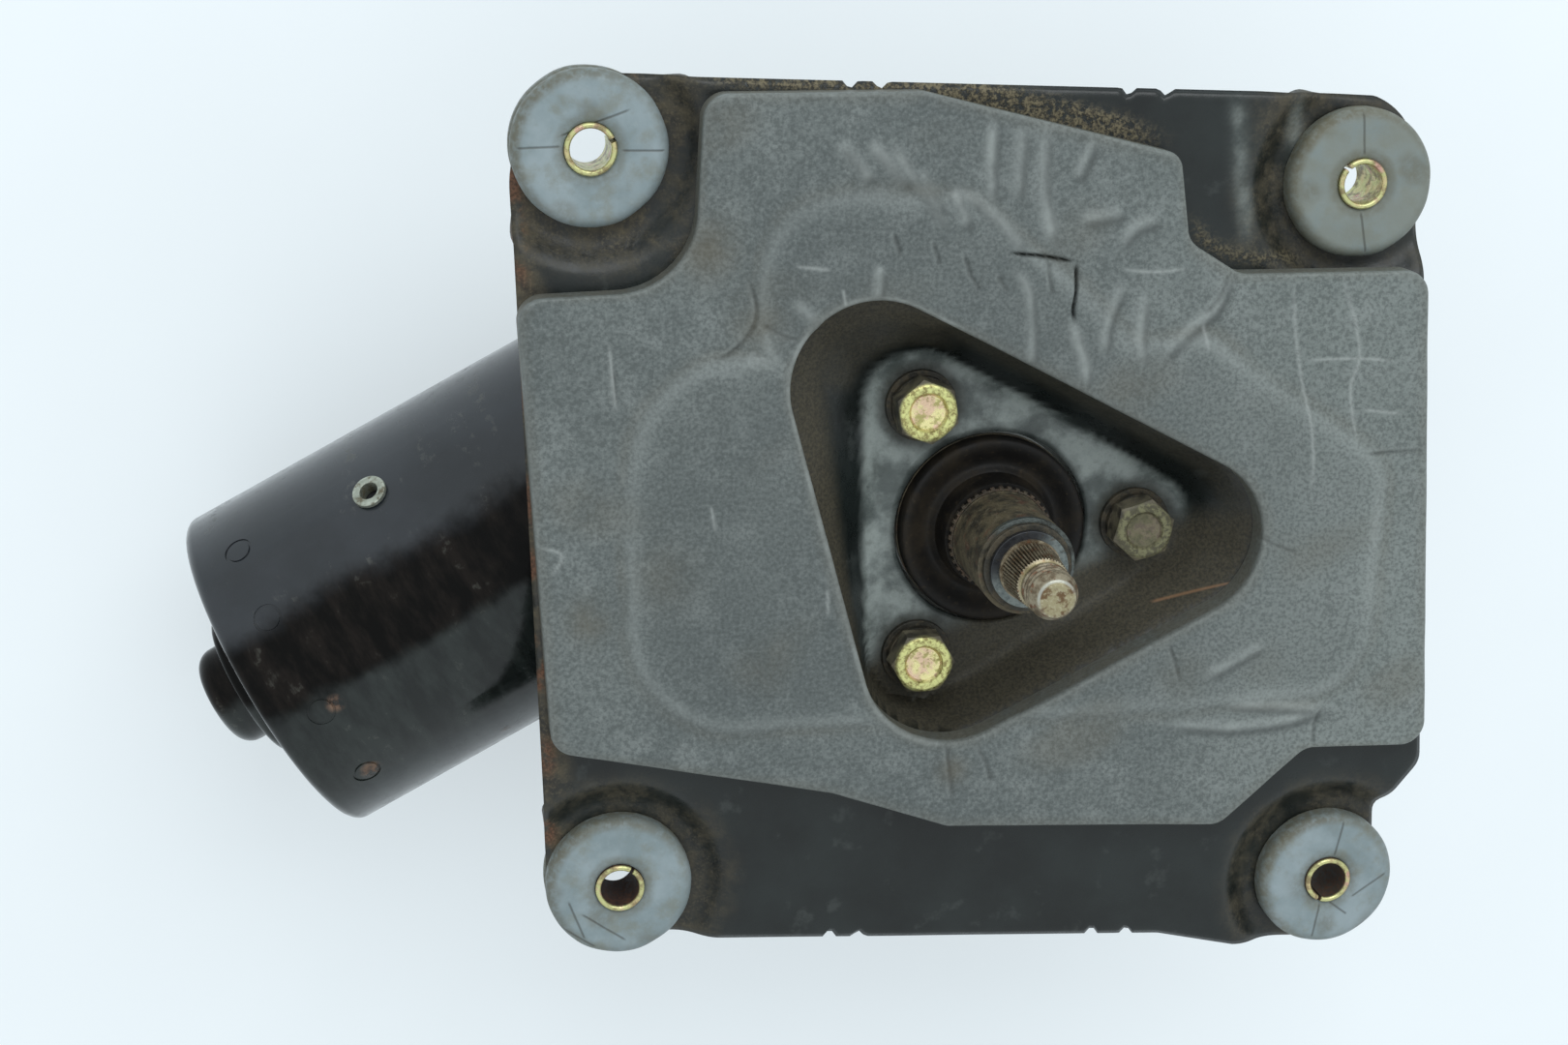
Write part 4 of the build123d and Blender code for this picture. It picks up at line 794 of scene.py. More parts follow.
# Rust spots on the motor's can: place, inner and outer radius, and where the rust begins.
RUST_SPOTS = (
    ((-108.1, -31.5, -10.0), 0.6, 2.0, 0.3),
    ((-102.1, -44.8, -14.5), 0.8, 2.3, 0.34),
    ((-78.6, -41.5, -21.0), 0.8, 2.3, 0.34),
)
PAINT_SCRATCH = ((27.4, -11.4), (41.8, -5.6))
# Relief pressed into the pad by the ribs under it: a loop round each side and an arch.
RELIEF = (
    (((-44.0, 11.5), 20.5), ((-43.5, -11.5), 20.3), ((51.5, -13.0), 13.0),
     ((54.5, 11.0), 9.5), ((27.5, 27.5), 9.5)),
    (((-28.5, 40.0), 18.0), ((-17.0, 41.5), 17.0), ((18.0, 24.0), 9.0)),
)
# Soft pale wrinkles in the foam.
# Soft wrinkles in the foam, each painted with a highlight on its crest and shade beside it.
WRINKLES = (
    ((-34.0, 65.2), (-27.5, 58.7)),
    ((-29.4, 65.5), (-21.3, 57.9)),
    ((-25.6, 65.5), (-22.5, 61.0), (-15.0, 51.6)),
    ((-20.8, 61.4), (-16.4, 54.2)),
    ((-15.4, 58.6), (-12.1, 52.4)),
    ((-14.7, 58.5), (-7.6, 54.6), (-2.0, 48.0)),
    ((-9.6, 70.0), (-9.6, 62.0), (-8.6, 56.0)),
    ((-5.0, 69.4), (-4.7, 56.6)),
    ((-1.2, 69.6), (-1.1, 59.2), (2.4, 48.6)),
    ((6.8, 67.2), (4.3, 60.4)),
    ((5.4, 54.4), (13.1, 56.0)),
    ((12.6, 50.6), (14.6, 54.0), (18.9, 55.2)),
    ((31.0, 48.6), (30.6, 41.8), (24.0, 36.2), (20.4, 31.6)),
    ((5.7, 38.6), (8.7, 31.7), (9.5, 27.6)),
    ((-4.9, 46.8), (-1.5, 43.5), (-0.4, 36.0), (-0.2, 29.5)),
    ((14.0, 45.0), (11.5, 38.0), (11.8, 33.0)),
    ((17.5, 43.5), (17.2, 36.0), (18.6, 31.4)),
    ((-25.8, 46.5), (-25.9, 40.4)),
    ((-38.9, 39.8), (-35.5, 37.2), (-34.2, 34.6)),
    ((45.5, -14.8), (34.0, -21.5)),
    ((38.0, -26.0), (58.0, -26.8)),
    ((27.0, -29.5), (45.0, -30.8), (60.0, -26.0)),
)
# Narrow grooves, painted darker along their line as shade, with a painted highlight on one lip.
CREASES = (
    ((-23.9, 51.3), (-22.5, 47.6)),
    ((-17.6, 50.2), (-16.0, 46.2)),
    ((-12.3, 48.1), (-11.1, 45.0)),
    ((-11.8, 45.7), (-9.0, 42.4)),
    ((-6.8, 45.3), (-4.9, 42.6)),
    ((1.3, 48.2), (1.9, 44.5), (2.8, 42.0)),
    ((31.6, 47.4), (30.2, 42.4), (27.4, 39.4)),
    ((-44.2, 36.4), (-40.2, 34.3), (-37.4, 33.8)),
    ((-46.5, 43.7), (-43.8, 37.0), (-47.6, 31.4), (-52.0, 29.8)),
    ((41.6, 3.4), (44.0, 2.0), (49.4, 0.4)),
    ((-8.5, -32.4), (-7.5, -38.0), (-6.2, -44.0)),
    ((-3.3, -33.4), (-1.0, -37.0), (0.0, -41.0)),
    ((56.8, -26.3), (55.6, -30.0), (56.2, -34.0)),
    ((28.0, -15.0), (31.2, -22.6)),
    ((57.8, 17.5), (69.5, 18.6)),
    ((-66.4, 29.0), (-65.8, 22.0)),
)
# Thin pale scratches.
SCRATCHES = (
    ((42.0, 48.0), (44.6, 32.9), (49.4, 20.0), (50.0, 8.6)),
    ((49.7, 48.0), (53.5, 41.1), (55.8, 33.3), (53.8, 28.9), (57.6, 17.6)),
    ((45.0, 33.0), (55.4, 33.8), (62.4, 33.3)),
    ((56.6, 25.2), (64.4, 24.6)),
    ((12.7, 47.0), (18.3, 46.4), (25.0, 47.4)),
    ((-39.5, 45.5), (-33.0, 45.0)),
    ((-31.4, 42.4), (-30.6, 39.2)),
    ((-67.4, 33.0), (-66.6, 27.0), (-65.7, 21.0)),
    ((-50.2, 7.2), (-49.0, 2.4)),
    ((-30.5, -6.0), (-30.0, -11.4)),
    ((27.8, 39.1), (29.4, 34.0)),
    ((-77.0, -0.5), (-72.4, -1.3), (-75.0, -5.4)),
)
# Tears through the foam's skin, painted dark as shade in the gap.
TEARS = (
    ((-5.6, 48.8), (0.0, 48.5), (6.4, 47.6)),
    ((6.0, 48.2), (6.5, 43.0), (6.0, 40.0), (6.9, 37.4)),
)
# Streaks of painted grey reflection down the plate beside the pad: sky mirrored in the paint.
SHEEN_STREAKS = (((31.0, 76.0), (33.6, 62.0), (36.0, 50.0)), ((42.2, 75.0), (43.2, 66.0), (43.8, 59.0)))
# Stains in the foam: centre, radius, share.
STAINS = (
    ((-53.0, 47.5), 4.5, 0.8), ((-68.5, -12.5), 3.5, 0.7), ((-44.0, 36.0), 4.0, 0.6),
    ((-57.0, -5.0), 5.0, 0.35), ((31.0, -21.0), 4.0, 0.3), ((-7.0, -38.0), 2.4, 0.7),
)
# Cracks in the grommets: corner, then start and end from the middle of its bore.
CRACKS = (
    ("tl", (-11.5, -0.4), (-4.4, 0.2)), ("tl", (-5.0, 1.6), (6.0, 6.4)), ("tl", (4.6, 0.0), (11.6, 0.3)),
    ("tr", (-1.4, 11.6), (-0.3, 4.4)), ("tr", (0.2, -4.4), (2.0, -11.4)),
    ("bl", (-10.4, -6.6), (-3.4, -10.8)), ("bl", (-6.4, -4.6), (1.6, -9.6)),
    ("bl", (-8.6, -2.2), (-5.4, -9.4)),
    ("br", (1.6, 11.2), (0.6, 4.2)), ("br", (-0.9, -4.3), (-1.6, -11.2)), ("br", (0.8, -4.2), (4.4, -6.6)),
    ("br", (4.6, -3.4), (10.8, 1.4)),
)
GROMMET_CRACKS = tuple(
    tuple((CORNERS[corner][0] + x, CORNERS[corner][1] + y) for x, y in (start, end))
    for corner, start, end in CRACKS
)


def plate_height(x, y):
    """Top of the pressed sheet: the plateau, down to the seats round the grommets, and
    down between two bands to the well's floor, each bend rounded."""
    share = soft_clip(well_share(x, y), 0.2)
    height = FLOOR_TOP + (PLATEAU_TOP - FLOOR_TOP) * share
    for hx, hy in CORNERS.values():
        out = (np.hypot(x - hx, y - hy) - SEAT_R) / (SEAT_SLOPE_R - SEAT_R)
        height = height - (PLATEAU_TOP - SEAT_TOP) * (1 - soft_clip(out, 0.45))
    return height + 0.05 * waves(x, y, 40, 3)


def well_share(x, y):
    """0 on the well's floor, rising to 1 at its rim."""
    to_floor = hull_distance(x, y, [(spot, FLOOR_CORNER_R) for spot in BOLTS])
    to_rim = hull_distance(x, y, WINDOW, WELL_MARGIN)
    return to_floor / np.maximum(to_floor - to_rim, TINY)


def plate_marks(x, y, edge):
    """Where the plate is grimy, rusty, brown with dust, painted grey as a reflection of the sky
    or crusted with old adhesive, 0..1."""
    grime = np.zeros_like(x)
    for hx, hy in CORNERS.values():
        reach = np.hypot(x - hx, y - hy)
        grime = np.maximum(grime, smooth((22 - reach) / 6) * smooth((reach - 10) / 3) * 0.6)
    grime = np.maximum(grime, smooth((7 - edge) / 5) * smooth((-56 - x) / 10))
    grime = np.maximum(grime, smooth((-52 - x) / 6) * smooth((y - 40) / 8) * 0.9)
    glue = smooth(stroke(x, y, ((-60, 73.6), (-21, 74.4), (0, 70.8), (24, 66.2)), 1.9) * 1.8)
    glue = np.maximum(glue, stroke(x, y, ((25, 56), (30, 49), (48, 48.6)), 1.0) * 0.8)
    streaks = smooth((x - 30) / 8) * smooth((y - 46) / 6) * smooth((62 - x) / 8) * 0.7
    grime = np.maximum(grime, streaks)
    share = well_share(x, y)
    within = smooth((1.05 - share) / 0.1)
    south = smooth((-14.0 + 0.5 * x - y) / 6 + 0.5)
    rim_side = smooth((share - 0.42) / 0.3)
    west = smooth((-10 - x) / 5) * rim_side
    north = smooth((share - 0.15) / 0.2) * smooth((-8 - x) / 6) * smooth((y - 22) / 4) * 0.6
    dust = np.maximum(np.maximum(south, west), np.maximum(north, rim_side * 0.5)) * within
    # Painted reflection: grey mirrored sky over the well's floor, weaker near the bolts and the floor hole.
    sheen = smooth((0.16 - share) / 0.16) * (1 - south) * within
    for bx, by in BOLTS:
        reach = np.hypot(x - bx, y - by)
        sheen = sheen * (0.25 + 0.75 * smooth((reach - 6.2) / 2.2))
        dust = np.maximum(dust, smooth((8.6 - reach) / 2.0) * 0.5)
    sheen = sheen * (0.35 + 0.65 * smooth((np.hypot(x, y) - FLOOR_HOLE_R) / 1.8))
    for path in SHEEN_STREAKS:
        sheen = np.maximum(sheen, stroke(x, y, path, 1.3) * 0.5)
    rust = smooth((3.4 - edge) / 2.6) * smooth((-60 - x) / 8)
    rust = rust * smooth((waves(x, y, 22, 12) + 0.5) / 0.7)
    return {"grime": grime, "rust": rust, "dust": dust, "sheen": sheen, "glue": glue}


def cell_middles(grid):
    """Mean of the four points round each cell of a grid that closes along its columns."""
    ahead = np.roll(grid, -1, 1)
    return (grid[:-1] + grid[1:] + ahead[:-1] + ahead[1:]) / 4


def pressed_plate():
    """Sheet carried on rays from the floor hole out to the rounded outline, cut open
    round the grommets and given its thickness below."""
    columns, rings, rim_drop, rim_width = 720, 64, 0.5, 0.9
    notch_half, notch_fade, notch_beyond = 1.1, 0.7, 60
    outer_x, outer_y = rounded_outline(PLATE_CORNERS, columns)
    for tab_x, length, side in TABS:
        for notch_x in (tab_x - length / 2, tab_x + length / 2):
            notch = smooth((notch_half - np.abs(outer_x - notch_x)) / notch_fade)
            outer_y = outer_y - side * notch * (outer_y * side > notch_beyond)
    outer_y = np.clip(outer_y, CAD_BOX[0][1] / MM + SHEET_LEAN, CAD_BOX[1][1] / MM - SHEET_LEAN)
    turn = np.arctan2(outer_y, outer_x)
    share = np.linspace(0, 1, rings)[:, None]
    x = FLOOR_HOLE_R * np.cos(turn) * (1 - share) + outer_x * share
    y = FLOOR_HOLE_R * np.sin(turn) * (1 - share) + outer_y * share
    edge = np.hypot(outer_x - x, outer_y - y)
    keep = np.ones((rings - 1, columns), bool)
    for hx, hy in CORNERS.values():
        keep &= np.hypot(cell_middles(x) - hx, cell_middles(y) - hy) > GROMMET_HOLE_R
    z = plate_height(x, y) - rim_drop * smooth((rim_width - edge) / rim_width)
    obj = surface("pressed_plate", np.stack([x, y, z], axis=-1), keep=keep, marks=plate_marks(x, y, edge))
    wall = obj.modifiers.new("sheet", "SOLIDIFY")
    wall.thickness = SHEET * MM
    wall.offset = -1.0
    wall.use_even_offset = False
    return obj


def pad_top(x, y, props):
    """Height of the foam's top and its marks: the relief, wrinkles that stand up, creases
    and tears that cut in, and a slow unevenness."""
    top = PLATEAU_TOP + props.height / MM
    step = props.relief / MM
    inside = np.minimum(*[hull_distance(x, y, circles) for circles in RELIEF])
    wavy = inside + 0.7 * waves(x, y, 26, 5)
    strength = 0.65 + 0.35 * waves(x, y, 34, 8)
    channel = np.exp(-((wavy / 1.5) ** 2)) * strength
    height = top - step * 0.45 * smooth((wavy + 2.0) / 4.0) - step * 0.55 * channel - 0.25
    # Painted highlight along the relief's raised edge.
    fold = 0.6 * np.exp(-(((wavy + 2.0) / 1.2) ** 2)) * strength
    dirt = 0.35 * np.exp(-((wavy / 1.1) ** 2)) * strength
    height = height + 0.14 * waves(x, y, 45, 6) + 0.07 * waves(x, y, 14, 7)
    shade = smooth((-wavy - 1.5) / 6) * 0.25
    rng = np.random.default_rng(4)
    for path in WRINKLES:
        mark = stroke(x, y, path, rng.uniform(0.75, 1.15))
        height = height + 0.42 * mark
        # Painted highlight on each wrinkle's crest, and painted shade in a stroke beside it.
        fold = np.maximum(fold, mark * rng.uniform(0.65, 1.0))
        shade = np.maximum(shade, stroke(x - 0.9, y + 1.0, path, 0.8))
    # Painted shade along the creases and in the tears.
    tear = np.zeros_like(x)
    for path in CREASES:
        mark = stroke(x, y, path, 0.36)
        height = height - 0.35 * mark
        tear = np.maximum(tear, mark * 0.4)
        # Painted highlight on one lip of the crease.
        fold = np.maximum(fold, stroke(x + 0.5, y - 0.4, path, 0.4) * 0.45)
    for path in TEARS:
        mark = stroke(x, y, path, 0.26)
        height = height - 0.9 * mark
        tear = np.maximum(tear, mark)
    scratch = np.zeros_like(x)
    for path in SCRATCHES:
        scratch = np.maximum(scratch, stroke(x, y, path, 0.26))
    dirt = np.maximum(dirt, smooth(waves(x, y, 38, 9) - 0.45) * 0.4)
    for (sx, sy), radius, share in STAINS:
        dirt = np.maximum(dirt, np.exp(-(((x - sx) ** 2 + (y - sy) ** 2) / radius**2)) * share)
    return height, {"fold": fold, "shade": shade, "tear": tear, "dirt": dirt, "scratch": scratch}


def foam_pad(props):
    """Closed ring of foam: rays carry it from the window's rim to the outer outline, and
    its cross-section runs up the outer side, over the top and down the window side."""
    columns, wall_rows, centre = 1500, 6, (-1.0, 4.0)
    outer_x, outer_y = rounded_outline(PAD_CORNERS, columns)
    turn = np.arctan2(outer_y - centre[1], outer_x - centre[0])
    inner_x, inner_y = hull_rim(turn, centre, WINDOW)
    span = np.hypot(outer_x - inner_x, outer_y - inner_y)
    rim = np.array([0.0, 0.08, 0.22, 0.42, 0.7, 1.1, 1.6])[:, None] / span
    plain = np.linspace(0, 1, 118)[1:-1, None]
    first, last = rim[-1:], 1 - rim[-1:]
    share = np.concatenate([rim, first + (last - first) * plain, 1 - rim[::-1]])
    x = inner_x * (1 - share) + outer_x * share
    y = inner_y * (1 - share) + outer_y * share
    height, marks = pad_top(x, y, props)
    edge = np.minimum(share, 1 - share) * span
    radius = props.edge_radius / MM
    height = height - radius + np.sqrt(np.maximum(radius**2 - np.maximum(radius - edge, 0) ** 2, 0))
    marks["dirt"] = np.maximum(marks["dirt"], smooth((3.0 - edge) / 3.0) * 0.3)
    # Painted highlight: a pale rim along the window's edge, strongest on its west side, and a thin pale line along
    # the top edges.
    west = smooth((-6 - x) / 8)
    rim_highlight = smooth((1.3 - share * span) / 0.8) * (0.15 + 0.75 * west)
    marks["fold"] = np.maximum(marks["fold"], np.maximum(rim_highlight, smooth((0.9 - edge) / 0.6) * 0.35))
    foot = PLATEAU_TOP + 0.06
    side = np.linspace(0, 1, wall_rows + 1)[1:, None]
    inner_wall = height[:1] * (1 - side) + foot * side
    outer_wall = height[-1:] * (1 - side) + foot * side
    z = np.concatenate([inner_wall[::-1], height, outer_wall])
    x, y = (
        np.concatenate([np.repeat(grid[:1], wall_rows, 0), grid, np.repeat(grid[-1:], wall_rows, 0)])
        for grid in (x, y)
    )
    for key, value in marks.items():
        wall = np.full((wall_rows, columns), 0.8 if key == "dirt" else 0.0)
        marks[key] = np.concatenate([wall, value, wall])
    obj = surface("foam_pad", np.stack([x, y, z], axis=-1), wrap_v=True, sharp=60, marks=marks)
    return obj


def grommet(name, spot, seed):
    """Turned rubber collar with a groove for the sheet and well-rounded edges, slightly
    uneven and dirtier on the side that looks up and left."""
    outer, waist, bore = 12.2, 8.6, 4.16
    top, foot, edge = -0.4, -10.6, 1.9
    seat_top, seat_foot = SEAT_TOP + 0.1, SEAT_TOP - SHEET - 0.1
    profile = (
        [(bore, foot + 0.3), (bore + 0.3, foot)]
        + arc((outer - edge, foot + edge), edge, -90, 0)
        + [(outer, seat_foot - 0.3), (outer - 0.3, seat_foot), (waist, seat_foot), (waist, seat_top)]
        + [(outer - 0.3, seat_top), (outer, seat_top + 0.3)]
        + arc((outer - edge, top - edge), edge, 0, 90)
        + [(r, top) for r in np.linspace(outer - edge - 0.4, bore + 1.6, 14)]
        + [(bore + 1.1, top - 0.12), (bore + 0.5, top - 0.16), (bore, top - 0.45)]
        + [(bore, z) for z in np.linspace(top - 1.5, foot + 1.0, 6)]
    )

    def shape(radius, turn, height):
        x, y = radius * np.cos(turn), radius * np.sin(turn)
        free = smooth((radius - bore - 0.6) / 1.5)
        lift = 0.1 * waves(x, y, 9, seed) * free * (height > SEAT_TOP + 1)
        squeeze = 1 - 0.008 * free * waves(x, y, 16, seed + 1) ** 2
        return radius * squeeze, height + np.minimum(lift, 0.1)

    def marks(radius, turn, height):
        x, y = radius * np.cos(turn), radius * np.sin(turn)
        behind = 0.5 + 0.5 * np.cos(turn - radians(140))
        rim = smooth((radius - 10.0) / 1.4) * (0.2 + 0.7 * behind)
        bore_rim = smooth((bore + 2.2 - radius) / 1.4)
        side = smooth((top - 1.4 - height) / 1.5) * 0.9
        grime = np.maximum(np.maximum(rim, bore_rim * 0.5), side)
        return {"grime": np.maximum(grime, smooth(waves(x, y, 12, seed + 2) - 0.3) * 0.5)}

    return lathe(f"rubber_grommet_{name}", profile, spot, 240, shape, marks)


def rubber_dish():
    """Turned rubber dish round the boss: a rounded rim, a hollow and an upright collar,
    each step of its height a smooth one along the radius."""
    bore, outer, foot, top = 8.25, 15.8, -12.15, -5.3
    radii = np.linspace(15.0, 9.2, 40)
    hollow = -8.8 - 1.6 * smooth((15.0 - radii) / 3.8) + 0.9 * smooth((11.2 - radii) / 1.6)
    hollow = hollow + 4.2 * smooth((9.95 - radii) / 0.75)
    profile = (
        [(bore, foot), (outer, foot), (outer, -9.5), (15.7, -9.1), (15.4, -8.85)]
        + list(zip(radii, hollow)) + [(9.1, top), (bore, top)]
    )
    return lathe("rubber_dish", profile, (0.0, 0.0))


def bolt_head(name, spot, turned):
    """Indented hexagon head with a chamfered crown on its shank: the radius follows the
    hexagon, and the crown falls away where it passes the chamfer circle."""
    flats, crown, dish_r, dish, chamfer_r, chamfer = 4.75, 4.0, 3.2, 0.8, 4.4, 32
    shank_r, shank_end, columns = 3.0, HEAD_FOOT - 16.4, 180
    top = HEAD_FOOT + crown
    turn = np.linspace(0, 2 * np.pi, columns, endpoint=False)
    within = (turn - radians(turned) + np.pi / 6) % (np.pi / 3) - np.pi / 6
    hexagon = flats / np.cos(within)
    rows = [(dish_r * share, top - dish + 0.1 * share) for share in (0.0, 0.3, 0.62)]
    for step, drop in ((-0.35, 0.62), (-0.08, 0.3), (0.12, 0.05), (0.4, 0.0)):
        rows.append((dish_r + step, top - drop))
    for share in np.linspace(0.1, 1, 7):
        radius = (dish_r + 0.4) * (1 - share) + hexagon * share
        rows.append((radius, top - np.maximum(radius - chamfer_r, 0) * tan(radians(chamfer))))
    low = rows[-1][1]
    for share in (0.15, 0.5, 0.85, 1.0):
        flare = 0.18 * smooth((share - 0.6) / 0.4)
        rows.append((hexagon + flare, low * (1 - share) + HEAD_FOOT * share))
    rows += [(shank_r, HEAD_FOOT), (shank_r, shank_end + 0.8), (shank_r - 0.5, shank_end), (0.0, shank_end)]
    radius, height = (np.array([row[part] * np.ones(columns) for row in rows]) for part in (0, 1))
    return surface(name, around(spot, radius, turn, height), sharp=28)


def drive_shaft(props):
    """Output shaft in one skin: plain shank, ring groove, tapered spline whose radius
    swings with the turn, and a thread whose radius swings with height and turn together,
    ending in a coned nose. The swings also mark the grooves, which the finish paints dark as shade."""
    big, small, core, bottom, shank, waist = 4.85, 4.3, 3.3, -47.6, 5.5, 4.8
    ring_low, ring_high, ring_r = 12.9, 14.1, 5.05
    spline_low, spline_high, thread, nose = 14.6, 22.0, 4.0, 27.6
    thread_low, cone_r, face_r = spline_high + 0.5, 3.06, 2.9
    spline_depth, thread_depth, undercut = 0.38, 0.36, 0.35
    pitch, teeth = props.thread_pitch / MM, props.spline_teeth
    columns = teeth * 10
    heights = np.concatenate([
        [bottom, bottom, bottom + 0.4, ring_low, ring_low, ring_high, ring_high, spline_low],
        np.linspace(spline_low, spline_low + 0.5, 5),
        np.linspace(spline_low + 0.8, spline_high - 0.2, 12),
        np.linspace(spline_high, spline_high + 0.4, 5),
        np.linspace(thread_low, nose, 90),
        np.linspace(nose + 0.1, SHAFT_TIP - 0.15, 9),
        [SHAFT_TIP, SHAFT_TIP, SHAFT_TIP],
    ])
    radii = np.concatenate([
        [0.0, shank - 0.4, shank, shank, waist, waist, ring_r, ring_r],
        np.linspace(4.5, big, 5),
        np.linspace(big, small, 12),
        np.linspace(small, core + 0.4, 5),
        np.full(90, thread),
        np.linspace(thread - 0.03, cone_r, 9),
        [face_r, 1.5, 0.0],
    ])
    turn = np.linspace(0, 2 * np.pi, columns, endpoint=False)[None, :]
    z = np.repeat(heights[:, None], columns, axis=1)
    r = np.repeat(radii[:, None], columns, axis=1)
    swing = np.abs(((turn * teeth / (2 * np.pi)) % 1.0) - 0.5) * 2
    on_spline = smooth((z - spline_low - 0.02) / 0.3) * smooth((spline_high + 0.1 - z) / 0.2)
    valley = on_spline * (1 - smooth(swing * 1.15))
    r = r - spline_depth * valley
    ridge = np.abs((((z - spline_high) / pitch - turn / (2 * np.pi)) % 1.0) - 0.5) * 2
    above = z > spline_high + 0.45
    on_thread = smooth((z - spline_high - 0.5) / 0.9) * smooth((nose + 0.4 - z) / 0.7) * above
    trough = on_thread * (1 - smooth(ridge * 1.15))
    r = r - thread_depth * trough
    r = r - undercut * smooth((spline_high + 1.1 - z) / 0.6) * above
    # The groove mark tells the finish where to paint shade.
    marks = {"groove": np.maximum(valley * 0.95, trough * 0.55)}
    return surface("drive_shaft", around((0.0, 0.0), r, turn, z), sharp=50, marks=marks)


# ==== settings =======================================================================
# Half the floor's side in millimetres, and the camera: its place, and its right, down and
# ahead directions.
FLOOR_HALF = 1600
CAMERA_SPOT = (-105.03, 102.6, 359.17)
CAMERA_AXES = ((0.9838, 0.0634, 0.1676), (0.0162, -0.9629, 0.2694), (0.1785, -0.2623, -0.9483))
# Width of the rounded edges of the plain pieces that show, in millimetres.
EDGES = {
    "gear_housing": 0.5, "yoke": 0.35, "gear_cover": 0.3, "connector_socket": 0.3,
    "mounting_sleeves": 0.12, "plain_washers": 0.15, "lock_washers": 0.15,
    "toothed_ring": 0.1, "top_washer": 0.15, "retaining_ring": 0.15,
    "cover_screws": 0.3, "yoke_screws": 0.3, "lock_nut": 0.3, "hollow_rivet": 0.3,
}
# Pieces whose finish is not the one that their material slot names.
OWN = {
    "plain_washers": "dark_steel", "lock_washers": "dark_steel",
    "toothed_ring": "ring_steel", "top_washer": "dark_steel", "hollow_rivet": "plain_zinc",
}


class PadSettings(bpy.types.PropertyGroup):
    height: FloatProperty(
        name="Height", description="Thickness of the foam pad", default=5.5 * MM, unit="LENGTH")
    relief: FloatProperty(
        name="Relief", description="Depth of the pressed-in relief", default=0.9 * MM, unit="LENGTH")
    edge_radius: FloatProperty(
        name="Edge radius", description="Rounding of the pad's top edges", default=0.8 * MM, unit="LENGTH")


class ShaftSettings(bpy.types.PropertyGroup):
    thread_pitch: FloatProperty(
        name="Thread pitch", description="Pitch of the crank thread", default=1.25 * MM, unit="LENGTH")
    spline_teeth: IntProperty(
        name="Spline teeth", description="Number of teeth on the taper spline", default=52, min=12)


class StageSettings(bpy.types.PropertyGroup):
    floor_colour: FloatVectorProperty(
        name="Floor colour", description="Colour of the floor and backdrop", subtype="COLOR",
        size=4, default=linear("f2fbff"), min=0.0, max=1.0)
    key_strength: FloatProperty(
        name="Window light", description="Strength of the large soft lamp", default=2.7, min=0.0)
    floor_share: FloatProperty(
        name="Floor share", description="Share of the floor that shows its plain colour",
        default=0.45, min=0.0, max=1.0)
    sky_strength: FloatProperty(
        name="Sky", description="Strength of the even surrounding light", default=0.8, min=0.0)


class WIPER_OT_plate(bpy.types.Operator):
    """Build the pressed mounting plate"""
    bl_idname = "wiper.plate"
    bl_label = "Mounting plate"

    def execute(self, context):
        place(pressed_plate(), finish("painted_plate"), FRAME_BODY, "mounting_plate")
        return {"FINISHED"}


class WIPER_OT_pad(bpy.types.Operator):
    """Build the foam seal pad"""
    bl_idname = "wiper.pad"
    bl_label = "Seal pad"

    def execute(self, context):
        pad = foam_pad(context.scene.wiper_pad)
        place(pad, finish("foam"), FRAME_BODY, "seal_pad")
        return {"FINISHED"}


class WIPER_OT_grommets(bpy.types.Operator):
    """Build the four rubber grommets"""
    bl_idname = "wiper.grommets"
    bl_label = "Grommets"

    def execute(self, context):
        for seed, (name, spot) in enumerate(CORNERS.items()):
            ring = grommet(name, spot, 20 + seed * 5)
            place(ring, finish("grommet_rubber"), FRAME_BODY, f"grommet_{name}")
        return {"FINISHED"}


class WIPER_OT_bolts(bpy.types.Operator):
    """Build the three indented hexagon bolts"""
    bl_idname = "wiper.bolts"
    bl_label = "Gearbox bolts"

    def execute(self, context):
        heads = [bolt_head(f"bolt_{i}", spot, BOLT_TURNS[i]) for i, spot in enumerate(BOLTS)]
        place(joined("gearbox_bolts", heads), finish("bolt_zinc"), FRAME_BODY, "mounting_bolts")
        return {"FINISHED"}


class WIPER_OT_shaft(bpy.types.Operator):
    """Build the splined and threaded output shaft"""
    bl_idname = "wiper.shaft"
    bl_label = "Output shaft"

    def execute(self, context):
        shaft = drive_shaft(context.scene.wiper_shaft)
        place(shaft, finish("shaft_steel"), OUTPUT_BODY, "output_shaft")
        return {"FINISHED"}


class WIPER_OT_castings(bpy.types.Operator):
    """Round the edges of the plain pieces that show, and give each its finish"""
    bl_idname = "wiper.castings"
    bl_label = "Housing and small pieces"

    def execute(self, context):
        place(rubber_dish(), finish("black_rubber"), FRAME_BODY, "boss_seal")
        for node, width in EDGES.items():
            softened(node, finish(OWN.get(node, SLOTS[node])), HOMES[node], width)
        return {"FINISHED"}


class WIPER_OT_springs(bpy.types.Operator):
    """Build merged copies of the brush springs"""
    bl_idname = "wiper.springs"
    bl_label = "Brush springs"

    def execute(self, context):
        for joint in frame["joints"]:
            for row in joint.get("deforming_nodes", []):
                spring = merged_copy(row["node"])
                place(spring, finish(SLOTS[row["node"]]), FRAME_BODY, row["node"])
                points = np.array([v.co for v in spring.data.vertices], float)
                along = points @ np.array(joint["axis"])
                points[along.argmax()].tolist()
                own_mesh(spring)
        return {"FINISHED"}


class WIPER_OT_finishes(bpy.types.Operator):
    """Give every remaining piece of the model its finish"""
    bl_idname = "wiper.finishes"
    bl_label = "Finishes"

    def execute(self, context):
        for node, obj in frame["nodes"].items():
            obj.data.materials.clear()
            obj.data.materials.append(finish(SLOTS[node]))
        return {"FINISHED"}


